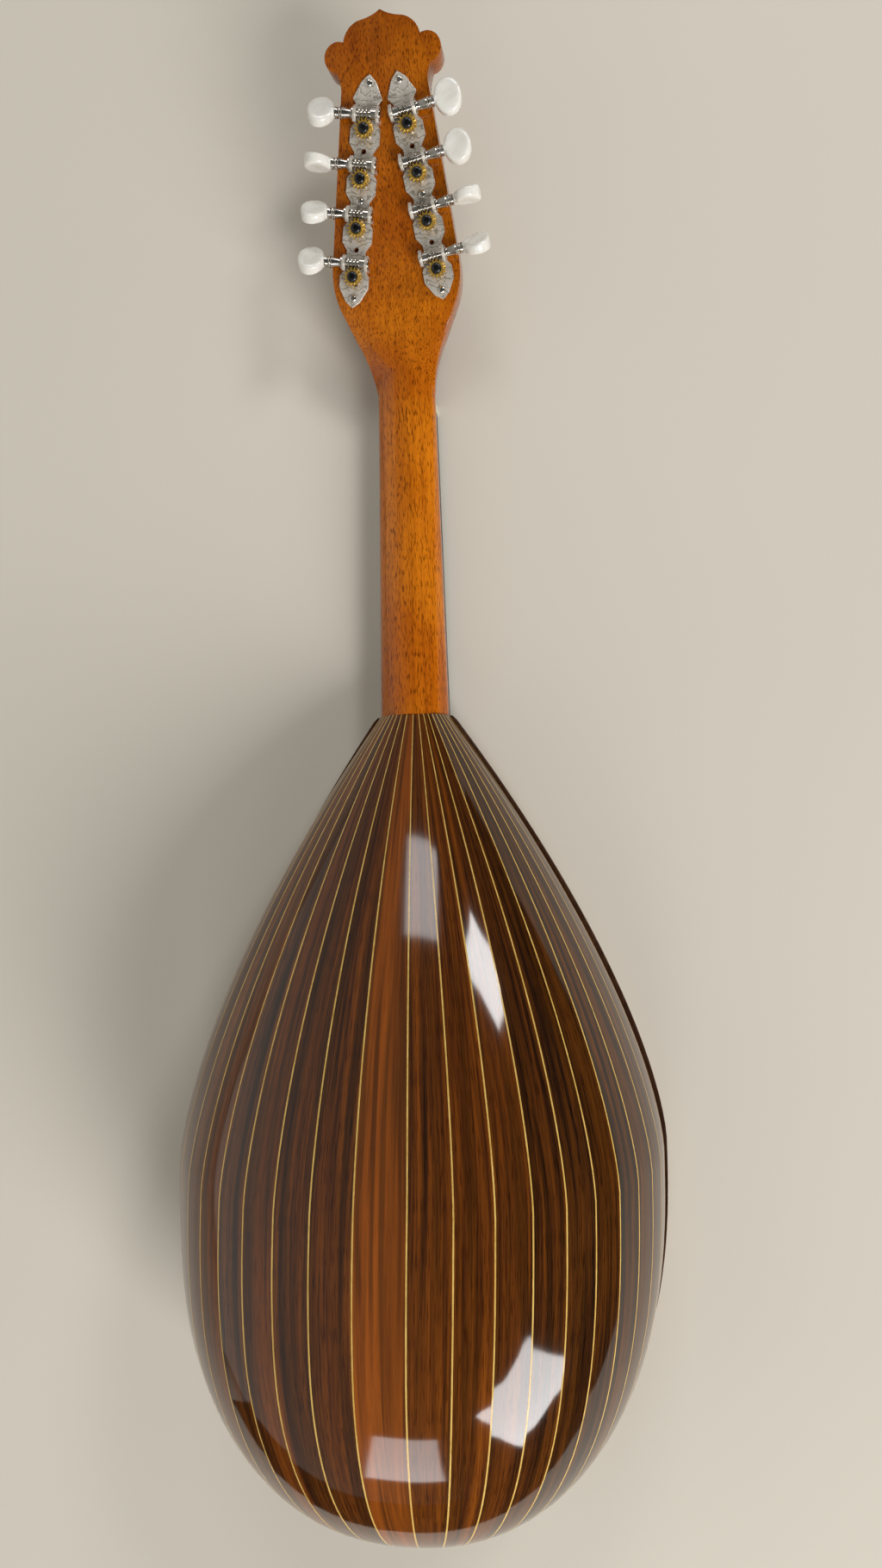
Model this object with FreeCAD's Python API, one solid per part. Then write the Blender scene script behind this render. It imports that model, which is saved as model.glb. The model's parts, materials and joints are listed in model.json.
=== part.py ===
import FreeCAD, Part
import math
import os

# Bowl back mandolin, lying face down on its bridge and nut.
# +X is the right of the back, +Y runs to the crest of the headstock, +Z is up, away from the strings.
# The drawing is made with the nut at Y = 0 and the face at Z = 0, and is set on its rest plane at the end.
# All sizes are millimetres and degrees.

V = FreeCAD.Vector

# playing length and frets, from the nut
scale_length = 344.0
frets_to_body = 10
fret_count = 17
bridge_y = -scale_length
joint_y = bridge_y * (1.0 - 2.0 ** (-frets_to_body / 12.0))
last_fret_y = bridge_y * (1.0 - 2.0 ** (-fret_count / 12.0))

# neck and headstock
neck_half_nut = 13.7
neck_half_joint = 16.2
neck_depth_nut = 15.7
neck_depth_joint = 17.5
neck_side_height = 4.0
head_break_y = 14.0
head_angle = 13.3
head_thickness = 13.0
head_length = 150.5
head_half_wide = 29.8
head_half_waist = 19.9
post_hole_clearance = 0.10
tenon_width = 14.0
tenon_length = 16.0
tenon_height = 10.0
block_front_gap = 2.0
chamfer_low = (5.5, 0.0)
chamfer_high = (24.0, 22.0)
chamfer_below = (13.2, -14.0, -11.0)
joint_clearance = 0.05
room = 400.0

# bowl
bowl_half_width = 110.5
bowl_depth = 120.0
widest_y = bridge_y - 4.5
deepest_y = bridge_y - 61.0
tail_y = bridge_y - 166.0
tail_opening = 0.9933
width_rise = 1.49
depth_rise = 1.745
width_tail_power = 2.6
width_tail_root = 2.16
depth_tail_power = 1.873
depth_tail_root = 2.543
section_power = 0.872
bowl_half_start = 17.0
bowl_depth_start = 17.0
rib_thickness = 1.8
rib_pairs = 11
centre_rib_half_angle = 3.77
rib_angle = 7.949
front_stations = 6
tail_stations = 7

# soundboard
board_thickness = 2.4
cant_angle = 3.5
cant_y = widest_y
hole_y = last_fret_y - 31.0
hole_half_x = 33.0
hole_half_y = 26.0
rosette_width = 5.0
rosette_depth = 0.8
binding_width = 1.5
binding_height = 3.6
lining_share = 0.8
lining_width = 5.0
lining_gap = 3.0
glue_gap = 0.3
block_length = 28.0
bar_places = (last_fret_y + 7.0, hole_y - 42.0, bridge_y + 20.0)
bar_width = 6.0
bar_end_gap = 4.0
bar_height = 12.0
bar_tip_height = 3.0
bar_shoulder = 0.75
scratch_thickness = 0.6
scratch_half_x = 36.0
scratch_gap = 1.0
scratch_length = 0.5 * (hole_y - hole_half_y - bridge_y)
scratch_sides = 20
scratch_ripple = 0.12
scratch_waves = 4.0
hole_sides = 36
bore_sides = 12
turned_sides = 12
post_sides = 16
neck_sides = 14

# fretboard, nut, bridge and tailpiece
fretboard_thickness = 4.5
fretboard_end_y = last_fret_y - 1.2
fret_width = 1.3
fret_height = 1.0
fret_inset = 0.4
nut_front_y = 2.0
nut_back_y = -2.2
nut_crown = 6.9
saddle_crown = 11.5
saddle_thickness = 2.6
saddle_half_length = 25.0
saddle_seat = 1.6
bridge_half_length = 55.0
bridge_width = 9.0
bridge_height = 7.5
bridge_end_height = 3.0
bridge_arch_height = 2.0
bridge_crown_spare = 3.0
bridge_foot = 12.0
bridge_middle_foot = 10.0
bridge_arch_slope = 4.0
slot_clearance = 0.06
tailpiece_half_width = 17.0
tailpiece_length = 34.0
tailpiece_thickness = 0.9
tailpiece_drop = 13.0
tail_screw_rise = 9.0
tail_screw_pitch = 8.5
hook_height = 3.2
hook_width = 1.2
hook_depth = 1.6
hook_inset = 4.0
hook_spread = 0.75

# strings: radius of each course from the low pair to the high pair
string_radii = (0.43, 0.31, 0.18, 0.14)
nut_course_pitch = 6.6
nut_pair_gap = 2.0
saddle_course_pitch = 12.0
saddle_pair_gap = 2.6
string_sides = 5
winding_turns = 2
winding_steps = 6
winding_gap = 0.08
winding_level = 4.0

# tuning machines
tuners_per_side = 4
tuner_pitch = 20.75
tuner_slope = 9.0
top_post_x = 9.95
top_post_s = 101.5
plate_thickness = 1.0
plate_half_width = 6.9
plate_neck_half = 4.4
plate_end = 23.8
plate_low_end = 12.6
plate_tip_half = 3.4
plate_tip_drop = 3.2
plate_leaf_wide = 10.2
plate_leaf_end = 13.6
plate_low_tip = 2.6
lobe_steps = (4.6, 1.2, -5.0, -8.6)
lobe_last = -4.0
plate_screw_high = 19.8
plate_screw_low = 8.4
spare_hole_drop = 8.1
spare_hole_radius = 1.0
spare_hole_sides = 8
gear_teeth = 14
gear_pitch_radius = 3.75
gear_outer_radius = 4.15
gear_root_radius = 3.05
gear_thickness = 2.6
gear_level = 4.0
tooth_pitch_width = 0.62
tooth_tip_width = 0.34
tooth_root_width = 1.05
centre_distance = 5.95
worm_root_radius = 1.6
worm_outer_radius = 2.6
thread_top_width = 0.25
thread_root_width = 0.96
thread_start = -2.0
thread_end = 3.5
thread_sunk = 0.25
bearing_clearance = 0.06
inner_ear_x = -6.8
outer_ear_x = 3.7
ear_thickness = 1.4
ear_half_width = 2.6
ear_rise = 2.6
ear_corner_across = 1.8
ear_corner_drop = 1.6
barrel_radius = 1.9
core_sides = 10
shank_ring_radius = 2.2
shank_tip_radius = 1.5
ferrule_start = 12.3
ferrule_radius = 1.9
button_start = 14.0
tang_half = 0.8
tang_length = 6.0
post_radius = 2.8
post_front = 12.0
gear_square_half = 1.2
gear_screw_radius = 2.35
gear_screw_top_radius = 1.6
gear_screw_height = 1.3
gear_screw_core_half = 0.6
gear_screw_depth = 3.0
button_length = 12.3
button_half_height = 7.9
button_thickness = 6.6
button_dish = 0.9
button_steps = 8
button_end_angle = 24.0
wood_screw_radius = 1.7
wood_screw_top_radius = 1.1
wood_screw_height = 0.8
screw_sides = 10
wood_screw_core_half = 0.6
wood_screw_length = 8.0

# rest turn of each button about its shaft, from the top of the headstock down
left_button_turns = (35.0, 88.0, 50.0, 40.0)
right_button_turns = (-8.0, -14.0, -84.0, -55.0)

SIDES = (("left", -1, left_button_turns), ("right", 1, right_button_turns))
lead = 2.0 * math.pi * gear_pitch_radius / gear_teeth


def sind(angle):
    return math.sin(math.radians(angle))


def cosd(angle):
    return math.cos(math.radians(angle))


def box(x0, x1, y0, y1, z0, z1):
    return Part.makeBox(x1 - x0, y1 - y0, z1 - z0, V(x0, y0, z0))


def flat(points):
    return Part.Face(Part.makePolygon(list(points) + [points[0]]))


def closed_solid(faces):
    shell = Part.makeShell(faces)
    shell.sewShape()
    solid = Part.makeSolid(shell)
    if solid.Volume < 0:
        solid.reverse()
    return solid


def skin(rings, swapped=(), bent_ends=False):
    """Solid through rings of points, in flat triangles; a swapped side is split by its other diagonal."""
    count = len(rings[0])
    faces = []
    for one, two in zip(rings, rings[1:]):
        for i in range(count):
            k = (i + 1) % count
            if i in swapped:
                faces.append(flat([one[i], one[k], two[i]]))
                faces.append(flat([one[k], two[k], two[i]]))
            else:
                faces.append(flat([one[i], one[k], two[k]]))
                faces.append(flat([one[i], two[k], two[i]]))
    for ring in (rings[0], rings[-1]):
        if bent_ends:
            faces += [flat([ring[0], ring[i], ring[i + 1]]) for i in range(1, count - 1)]
        else:
            faces.append(flat(ring))
    return closed_solid(faces)


def ring_points(radius, sides, height):
    return [V(radius * cosd(360.0 * (k + 0.5) / sides), radius * sind(360.0 * (k + 0.5) / sides), height)
            for k in range(sides)]


def prism(points, direction):
    return flat(points).extrude(direction)


def turned(profile, sides):
    """Flat-sided turning about the X axis from (x, radius) points."""
    rings = []
    for x, radius in profile:
        rings.append([V(x, p.x, p.y) for p in ring_points(radius, sides, 0.0)])
    return skin(rings)


def post_bore(radius, start, end):
    """Flat-sided bore whose flats lie at the radius."""
    axis = end - start
    tool = prism(ring_points(radius / cosd(180.0 / bore_sides), bore_sides, 0.0), V(0, 0, axis.Length))
    turn = FreeCAD.Rotation(V(0, 0, 1), axis)
    tool.Placement = FreeCAD.Placement(start, turn)
    return tool


# bowl surface


def swell(y, start, peak, peak_y, rise, power, root):
    if y > peak_y:
        share = (joint_y - y) / (joint_y - peak_y)
        return start + (peak - start) * (1.0 - (1.0 - share) ** rise)
    share = (peak_y - y) / (peak_y - tail_y)
    return peak * (1.0 - share ** power) ** (1.0 / root)


def half_width(y):
    return swell(y, bowl_half_start, bowl_half_width, widest_y, width_rise, width_tail_power, width_tail_root)


def depth(y):
    return swell(y, bowl_depth_start, bowl_depth, deepest_y, depth_rise, depth_tail_power, depth_tail_root)


def cant(y):
    return max(0.0, cant_y - y) * math.tan(math.radians(cant_angle))


def rim_height(y):
    return board_thickness + cant(y)


def rim_angle(y):
    return math.degrees(math.asin((rim_height(y) / depth(y)) ** (1.0 / section_power)))


def bowl_point(angle, y):
    across = math.copysign(abs(cosd(angle)) ** section_power, cosd(angle))
    return V(half_width(y) * across, y, depth(y) * sind(angle) ** section_power)


def bowl_inside(angle, y, offset):
    """Point under the bowl's surface, square to it."""
    step = 0.05
    around = bowl_point(angle + step, y) - bowl_point(angle - step, y)
    along = bowl_point(angle, y + step) - bowl_point(angle, y - step)
    normal = around.cross(along)
    normal.normalize()
    return bowl_point(angle, y) + normal * offset


def seam_inside(number, y):
    """Inner edge of a rib at a seam; along the rim it stays on the soundboard."""
    point = bowl_inside(line_angle(number, y), y, rib_thickness)
    return V(point.x, point.y, rim_height(point.y)) if abs(number) > rib_pairs else point


def line_angle(number, y):
    """Angle of the seam beside a rib: 1 to 11 right of the crown, -1 to -11 left, 12 at the rim."""
    span = 90.0 - rim_angle(y)
    rank = abs(number)
    share = 1.0 if rank > rib_pairs else (centre_rib_half_angle + (rank - 1) * rib_angle) / 90.0
    return 90.0 - math.copysign(span * share, number)


def stations():
    front = [joint_y + (widest_y - joint_y) * i / front_stations for i in range(front_stations)]
    last = math.asin(tail_opening)
    tail = [widest_y + (tail_y - widest_y) * math.sin(last * i / tail_stations) for i in range(tail_stations + 1)]
    return front + tail


def rib(first, second):
    rings = []
    for y in stations():
        a, b = line_angle(first, y), line_angle(second, y)
        rings.append([bowl_point(a, y), bowl_point(b, y), seam_inside(second, y), seam_inside(first, y)])
    return skin(rings, swapped=(3,), bent_ends=True)


def seam_numbers():
    return [-n for n in range(rib_pairs + 1, 0, -1)] + list(range(1, rib_pairs + 2))


def bowl_ribs():
    seams = seam_numbers()
    return [rib(a, b) for a, b in zip(seams, seams[1:])]


def inner_ring(y, offset):
    """Points at the seams under the ribs' flat faces, at any Y."""
    places = stations()
    for one, two in zip(places, places[1:]):
        if two <= y <= one:
            share = (one - y) / (one - two)
            first = [bowl_inside(line_angle(n, one), one, offset) for n in seam_numbers()]
            second = [bowl_inside(line_angle(n, two), two, offset) for n in seam_numbers()]
            return [a + (b - a) * share for a, b in zip(first, second)]
    raise ValueError("outside the bowl")


# soundboard and what is glued inside the bowl


def rim_outline(extra):
    """Plan of the rim from the neck round the tail and back, moved outwards by extra."""
    right = []
    for y in stations():
        point = bowl_point(rim_angle(y), y)
        step = 0.05
        ahead = bowl_point(rim_angle(y + step), y + step) if y + step < joint_y else point
        behind = bowl_point(rim_angle(y - step), y - step)
        along = V(ahead.x - behind.x, ahead.y - behind.y, 0)
        along.normalize()
        right.append(V(point.x + along.y * extra, point.y - along.x * extra, 0))
    right[0] = V(right[0].x, joint_y, 0)
    left = [V(-p.x, p.y, 0) for p in reversed(right)]
    return right, left


def bent_plate(right, left, low, high):
    """Plate of the given plan between two heights above the bent face."""
    def at(point, height):
        return V(point.x, point.y, height + cant(point.y))
    before = [p for p in right if p.y > cant_y + 0.01]
    after = [p for p in right if p.y < cant_y - 0.01]
    crease = right[len(before)]
    front = before + [crease] + [V(-p.x, p.y, 0) for p in reversed(before + [crease])]
    tail = [crease] + after + [V(-p.x, p.y, 0) for p in reversed([crease] + after)]
    faces = []
    for plan in (front, tail):
        for height in (low, high):
            faces.append(flat([at(p, height) for p in plan]))
    rim = before + [crease] + after
    rim = rim + [V(-p.x, p.y, 0) for p in reversed(rim)]
    for a, b in zip(rim, rim[1:] + rim[:1]):
        faces.append(flat([at(a, low), at(b, low), at(b, high), at(a, high)]))
    return closed_solid(faces)


def hole_face(grow, height):
    turns = [360.0 * k / hole_sides for k in range(hole_sides)]
    return flat([V((hole_half_x + grow) * cosd(t), hole_y + (hole_half_y + grow) * sind(t), height) for t in turns])


def soundboard():
    right, left = rim_outline(0.0)
    board = bent_plate(right, left, 0.0, board_thickness)
    board = board.cut(hole_face(0.0, -1.0).extrude(V(0, 0, board_thickness + 2.0)))
    return board.cut(hole_face(rosette_width, -1.0).extrude(V(0, 0, rosette_depth + 1.0)))


def soundhole_rosette():
    ring = hole_face(rosette_width, 0.0).cut(hole_face(0.0, 0.0))
    return ring.extrude(V(0, 0, rosette_depth))


def edge_binding():
    inner, _ = rim_outline(0.0)
    outer, _ = rim_outline(binding_width)
    path = list(zip(inner, outer))
    path = path + [(V(-a.x, a.y, 0), V(-b.x, b.y, 0)) for a, b in reversed(path)]
    rings = []
    for a, b in path:
        top = board_thickness
        rings.append([V(a.x, a.y, cant(a.y)), V(b.x, b.y, cant(b.y)),
                      V(b.x, b.y, cant(b.y) + binding_height), V(a.x, a.y, cant(a.y) + top)])
    return skin(rings)


def lining(side):
    block_face = stations()[-1] + block_length + lining_gap
    rings = []
    for y in [y for y in stations()[1:] if y > block_face] + [block_face]:
        ring = inner_ring(y, rib_thickness + glue_gap)
        foot, seam = (ring[-1], ring[-2]) if side > 0 else (ring[0], ring[1])
        foot = V(foot.x, foot.y, rim_height(foot.y))
        head = foot + (seam - foot) * lining_share
        inward = V(-side * lining_width, 0, 0)
        rings.append([foot, head, head + inward * 0.6, foot + inward])
    return skin(rings, bent_ends=True)


def end_block(y_low, y_high):
    """Block that fills the end of the bowl between two places."""
    rings = []
    for y in [y_high] + [y for y in stations() if y_low < y < y_high] + [y_low]:
        ring = inner_ring(y, rib_thickness + 2.0 * glue_gap)
        foot = [V(ring[-1].x, ring[-1].y, 0), V(ring[0].x, ring[0].y, 0)]
        rings.append(ring + foot)
    return skin(rings, bent_ends=True)


def neck_block():
    block = end_block(joint_y - block_length, joint_y - block_front_gap)
    keep = box(-room, room, joint_y - room, joint_y - joint_clearance, board_thickness, room)
    mortise = tenon(joint_clearance)
    return block.common(keep).cut(mortise)


def tail_block():
    """Block at the tail with a cap that covers the ends of the ribs."""
    last = stations()[-1]
    inner = end_block(last, last + block_length)
    stub = inner_ring(last, rib_thickness + 2.0 * glue_gap)
    crown = max(p.y for p in stub)
    neck_piece = prism([V(p.x, last, p.z) for p in stub], V(0, crown - last + 1.0, 0))
    cap = prism([V(p.x, last, p.z) for p in [bowl_point(line_angle(n, last), last) for n in seam_numbers()]],
                V(0, tail_edge_y() - last, 0))
    cap = cap.cut(box(-room, room, last - room, last + room, -room, cant(last) + binding_height))
    block = inner.fuse(neck_piece).common(bent_space(board_thickness)).fuse(cap).removeSplitter()
    for place in tail_screw_places():
        block = block.cut(tail_core(place, 0.0))
    return block


def bent_space(height):
    """Everything inside the bowl above the bent face."""
    far = tail_y - room
    side = [V(-room, 0, height), V(-room, cant_y, height), V(-room, far, height + cant(far)),
            V(-room, far, room), V(-room, 0, room)]
    return prism(side, V(2 * room, 0, 0))


def soundboard_bars():
    bars = []
    for y in bar_places:
        narrow = min(half_width(y), half_width(y + bar_width))
        reach = narrow - rib_thickness - glue_gap - lining_width - bar_end_gap
        low = board_thickness
        tip = low + bar_tip_height
        shoulder = reach * bar_shoulder
        outline = [V(-reach, y, low), V(-reach, y, tip), V(-shoulder, y, low + bar_height),
                   V(shoulder, y, low + bar_height), V(reach, y, tip), V(reach, y, low)]
        bars.append(prism(outline, V(0, bar_width, 0)))
    return bars


def scratchplate():
    """Thin plate below the soundhole, straight at its top edge and rounded like a shield below."""
    top = hole_y - hole_half_y - rosette_width - scratch_gap
    points = []
    for k in range(scratch_sides + 1):
        turn = 180.0 + 180.0 * k / scratch_sides
        bulge = 1.0 + scratch_ripple * cosd(scratch_waves * turn)
        points.append(V(scratch_half_x * bulge * cosd(turn), top + scratch_length * bulge * sind(turn), 0))
    return prism(points, V(0, 0, -scratch_thickness))


# neck and headstock


def head_point(x, s, h=0.0):
    """Point on the headstock: s runs up its back from the break, h stands out of its back."""
    y = head_break_y + s * cosd(head_angle) - h * sind(head_angle)
    z = neck_depth_nut + s * sind(head_angle) + h * cosd(head_angle)
    return V(x, y, z)


def head_direction(x, s, h):
    return head_point(x, s, h) - head_point(0, 0, 0)


def neck_half(y):
    return neck_half_nut + (neck_half_joint - neck_half_nut) * y / joint_y


def neck_section(y, width, height):
    """Rounded back of the neck on two low straight sides."""
    rise = height - neck_side_height
    radius = (width ** 2 + rise ** 2) / (2.0 * rise)
    spread = math.degrees(math.asin(min(1.0, width / radius)))
    if rise > width:
        spread = 180.0 - spread
    points = [V(width, y, 0)]
    for k in range(neck_sides + 1):
        turn = 90.0 - spread + 2.0 * spread * k / neck_sides
        points.append(V(radius * cosd(turn), y, height - radius + radius * sind(turn)))
    return points + [V(-width, y, 0)]


def head_outline():
    """Half outline of the headstock's back from the neck to the crest, as edges on the right side."""
    hook = head_half_waist + 1.6
    lobe = head_half_waist + 6.5
    notch = head_half_waist - 2.4
    widest = head_length - 105.5
    p = head_point
    edges = [
        Part.LineSegment(p(neck_half_nut - 0.3, -20.0), p(neck_half_nut, -12.0)).toShape(),
        Part.Arc(p(neck_half_nut, -12.0), p(neck_half_nut + 2.4, 1.0), p(neck_half_nut + 7.3, 13.0)).toShape(),
        Part.LineSegment(p(neck_half_nut + 7.3, 13.0), p(head_half_wide - 2.6, 27.0)).toShape(),
        Part.Arc(p(head_half_wide - 2.6, 27.0), p(head_half_wide - 0.5, 34.0), p(head_half_wide, widest)).toShape(),
        Part.LineSegment(p(head_half_wide, widest), p(head_half_waist, head_length - 31.5)).toShape(),
        Part.Arc(p(head_half_waist, head_length - 31.5), p(head_half_waist + 0.3, head_length - 27.0),
                 p(hook, head_length - 23.4)).toShape(),
        Part.Arc(p(hook, head_length - 23.4), p(lobe, head_length - 18.6), p(notch, head_length - 11.4)).toShape(),
        Part.Arc(p(notch, head_length - 11.4), p(notch - 2.4, head_length - 6.6),
                 p(notch - 9.0, head_length - 3.2)).toShape(),
        Part.Arc(p(notch - 9.0, head_length - 3.2), p(notch - 13.6, head_length - 2.0),
                 p(0, head_length)).toShape()]
    return edges


def mirrored(edges):
    return [edge.mirror(V(0, 0, 0), V(1, 0, 0)) for edge in reversed(edges)]


def tenon(grow):
    return box(-tenon_width / 2 - grow, tenon_width / 2 + grow, joint_y - tenon_length - grow, joint_y + 1.0,
               board_thickness, board_thickness + tenon_height + grow)


def chamfer_cutter(side):
    """Wedge that slopes the headstock's lower edge down to the neck."""
    edge_low = head_point(side * chamfer_low[0], chamfer_low[1])
    edge_high = head_point(side * chamfer_high[0], chamfer_high[1])
    below = head_point(side * chamfer_below[0], *chamfer_below[1:])
    along = edge_high - edge_low
    down = below - edge_low
    normal = along.cross(down)
    normal.normalize()
    if normal.z < 0:
        normal = -normal
    along.normalize()
    across = normal.cross(along)
    corner = edge_low - along * room - across * room
    corners = [corner, corner + along * 2 * room, corner + (along + across) * 2 * room, corner + across * 2 * room]
    return prism(corners, normal * room)


def neck():
    right = head_outline()
    left = mirrored(right)
    closing = Part.LineSegment(head_point(-neck_half_nut + 0.3, -20.0), head_point(neck_half_nut - 0.3, -20.0))
    wire = Part.Wire(Part.__sortEdges__([closing.toShape()] + right + left))
    head = Part.Face(wire).extrude(head_direction(0, 0, -head_thickness))
    for side in (-1, 1):
        head = head.cut(chamfer_cutter(side))
    head = head.cut(box(-room, room, -room, head_break_y, -room, 0))
    shaft = skin([neck_section(head_break_y, neck_half_nut - 0.2, neck_depth_nut),
                  neck_section(joint_y, neck_half_joint, neck_depth_joint)])
    front = [head_point(-room, -room, -head_thickness), head_point(room, -room, -head_thickness),
             head_point(room, room, -head_thickness), head_point(-room, room, -head_thickness)]
    below_front = prism(front, head_direction(0, 0, -room))
    below_front = below_front.cut(box(-room, room, -2 * room, nut_edge_y(), -2 * room, room))
    body = shaft.cut(below_front).fuse(head).fuse(tenon(0.0)).removeSplitter()
    for _, side, _ in SIDES:
        for number in range(tuners_per_side):
            start = tuner_point(side, number, 0, 0, 2.0)
            end = tuner_point(side, number, 0, 0, -head_thickness - 4.0)
            body = body.cut(post_bore(post_radius + post_hole_clearance, start, end))
    for place in wood_screw_places():
        body = body.cut(placed(square_core(wood_screw_core_half, -wood_screw_length, plate_thickness), *place))
    return body


def nut_edge_y():
    """Where the headstock's front meets the neck's front."""
    s = (head_thickness * cosd(head_angle) - neck_depth_nut) / sind(head_angle)
    return head_point(0, s, -head_thickness).y


# tuning machines, drawn about each post: X along the worm, Y to the crest, Z out of the headstock's back


def tuner_axes(side):
    x_axis = head_direction(cosd(tuner_slope), side * sind(tuner_slope), 0)
    y_axis = head_direction(-side * sind(tuner_slope), cosd(tuner_slope), 0)
    return x_axis, y_axis, head_direction(0, 0, 1)


def post_place(side, number):
    x = top_post_x + tuner_pitch * number * sind(tuner_slope)
    s = top_post_s - tuner_pitch * number * cosd(tuner_slope)
    return head_point(side * x, s)


def tuner_point(side, number, x, y, z):
    ax, ay, az = tuner_axes(side)
    return post_place(side, number) + ax * x + ay * y + az * z


def placed(shape, side, number, shift=0.0):
    ax, ay, az = tuner_axes(side)
    base = post_place(side, number) + ay * shift
    matrix = FreeCAD.Matrix(ax.x, ay.x, az.x, base.x, ax.y, ay.y, az.y, base.y, ax.z, ay.z, az.z, base.z, 0, 0, 0, 1)
    copy = shape.copy()
    copy.transformShape(matrix)
    return copy


def square_core(half, low, high):
    return box(-half, half, -half, half, low, high)


def wood_screw_places():
    """Side, post and shift along the plate of each plate screw."""
    places = []
    for _, side, _ in SIDES:
        places.append((side, 0, plate_screw_high))
        places.append((side, 1, -plate_screw_low + 0.2))
        places.append((side, tuners_per_side - 1, -plate_screw_low))
    return places


def gear_wheel():
    """Toothed wheel: each flank leans round the wheel as the worm's thread does."""
    low = gear_level - gear_thickness / 2
    lean = math.degrees(gear_thickness / 2 * lead / (2 * math.pi * (centre_distance - gear_pitch_radius))
                        / gear_pitch_radius)
    rings = []
    for height, turn in ((low, -lean), (low + gear_thickness, lean)):
        ring = []
        for tooth in range(gear_teeth):
            middle = 90.0 + (tooth + 0.5) * 360.0 / gear_teeth + turn
            tip = math.degrees(tooth_tip_width / 2 / gear_outer_radius)
            root = math.degrees(tooth_root_width / 2 / gear_root_radius)
            for angle, radius in ((-root, gear_root_radius), (-tip, gear_outer_radius),
                                  (tip, gear_outer_radius), (root, gear_root_radius)):
                ring.append(V(radius * cosd(middle + angle), radius * sind(middle + angle), height))
        rings.append(ring)
    wheel = skin(rings)
    bore = square_core(gear_square_half, low - 1.0, low + gear_thickness + 1.0)
    return wheel.cut(bore)


def string_post():
    low = gear_level - gear_thickness / 2
    length = head_thickness + post_front + low
    body = prism(ring_points(post_radius, post_sides, -head_thickness - post_front), V(0, 0, length))
    body = body.fuse(square_core(gear_square_half, low - 0.5, low + gear_thickness))
    top = low + gear_thickness
    return body.cut(square_core(gear_screw_core_half, top - gear_screw_depth, top + 1.0))


def screw(top_radius, radius, height, core_half, core_depth):
    """Screw standing on Z = 0 with a square core below."""
    head = skin([ring_points(radius, screw_sides, 0.0), ring_points(top_radius, screw_sides, height)])
    return head.fuse(square_core(core_half, -core_depth, 0.0))


def gear_screw():
    body = screw(gear_screw_top_radius, gear_screw_radius, gear_screw_height, gear_screw_core_half,
                 gear_screw_depth)
    body.translate(V(0, 0, gear_level + gear_thickness / 2))
    return body


def thread():
    """Right-hand worm thread, in straight steps round the shaft, with a crest at X = 0 facing -Y."""
    turns = (thread_end - thread_start - thread_root_width - 0.1) / lead
    steps = int(turns * core_sides)
    middle = 0.5 * (thread_start + thread_end)
    inside = worm_root_radius - thread_sunk
    half_in = thread_root_width / 2 + 0.05
    half_top = thread_top_width / 2
    rings = []
    for i in range(steps + 1):
        x = middle + (i - steps / 2) * lead / core_sides
        angle = 180.0 + 360.0 * x / lead
        out = V(0, cosd(angle), sind(angle))
        rings.append([out * inside + V(x - half_in, 0, 0), out * worm_outer_radius + V(x - half_top, 0, 0),
                      out * worm_outer_radius + V(x + half_top, 0, 0), out * inside + V(x + half_in, 0, 0)])
    return skin(rings)


def worm_shaft(turn):
    """Shaft with its button end towards +X, lying on the X axis; turn sets the square tang."""
    ring = outer_ear_x + ear_thickness + bearing_clearance
    barrel = turned([(inner_ear_x, barrel_radius), (thread_start, barrel_radius)], turned_sides)
    corner = worm_root_radius / cosd(180.0 / core_sides)
    core = prism([V(thread_start, p.x, p.y) for p in ring_points(corner, core_sides, 0.0)],
                 V(thread_end - thread_start, 0, 0))
    shank = turned([(thread_end, worm_root_radius), (ring, worm_root_radius), (ring, shank_ring_radius),
                    (ferrule_start, shank_tip_radius), (ferrule_start, ferrule_radius),
                    (button_start, ferrule_radius)], turned_sides)
    tang = box(button_start - 0.5, button_start + tang_length, -tang_half, tang_half, -tang_half, tang_half)
    tang.rotate(V(0, 0, 0), V(1, 0, 0), turn)
    return core.fuse(thread()).fuse(barrel).fuse(shank).fuse(tang)


def tuner_button():
    """Oval button with two dished faces, its faces square to Z."""
    half = button_length / 2
    rings = []
    for k in range(button_steps + 1):
        across = -cosd(button_end_angle + (180.0 - 2.0 * button_end_angle) * k / button_steps)
        height = button_half_height * math.sqrt(1.0 - across ** 2)
        thick = button_thickness / 2 - button_dish * (1.0 - across ** 2)
        x = button_start + half + half * across / cosd(button_end_angle)
        edge = 0.35 * thick
        rings.append([V(x, -height, -edge), V(x, -height + edge, -thick), V(x, height - edge, -thick),
                      V(x, height, -edge), V(x, height, edge), V(x, height - edge, thick),
                      V(x, -height + edge, thick), V(x, -height, edge)])
    body = skin(rings)
    hole = box(button_start - 1, button_start + tang_length, -tang_half, tang_half, -tang_half, tang_half)
    return body.cut(hole)


def on_worm(shape, side, turn):
    """Turn a shaft piece about its own axis, point it to its side and lift it to the worm's place."""
    copy = shape.copy()
    copy.rotate(V(0, 0, 0), V(1, 0, 0), turn)
    if side < 0:
        copy.rotate(V(0, 0, 0), V(0, 1, 0), 180)
    copy.translate(V(0, centre_distance, gear_level))
    return copy


def ear(side, start):
    """Bearing ear that stands up from the plate round the worm."""
    width = ear_half_width
    top = gear_level + ear_rise
    low = plate_thickness
    y = centre_distance
    slim = ear_half_width - ear_corner_across
    corner = top - ear_corner_drop
    outline = [V(start, y - width, low), V(start, y + width, low), V(start, y + width, corner),
               V(start, y + slim, top), V(start, y - slim, top), V(start, y - width, corner)]
    body = prism(outline, V(ear_thickness, 0, 0))
    radius = (barrel_radius if start < 0 else worm_root_radius) + bearing_clearance
    bore = post_bore(radius, V(start - 1, y, gear_level), V(start + 3, y, gear_level))
    body = body.cut(bore)
    if side < 0:
        body.rotate(V(0, y, gear_level), V(0, 0, 1), 180)
    return body


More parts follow.
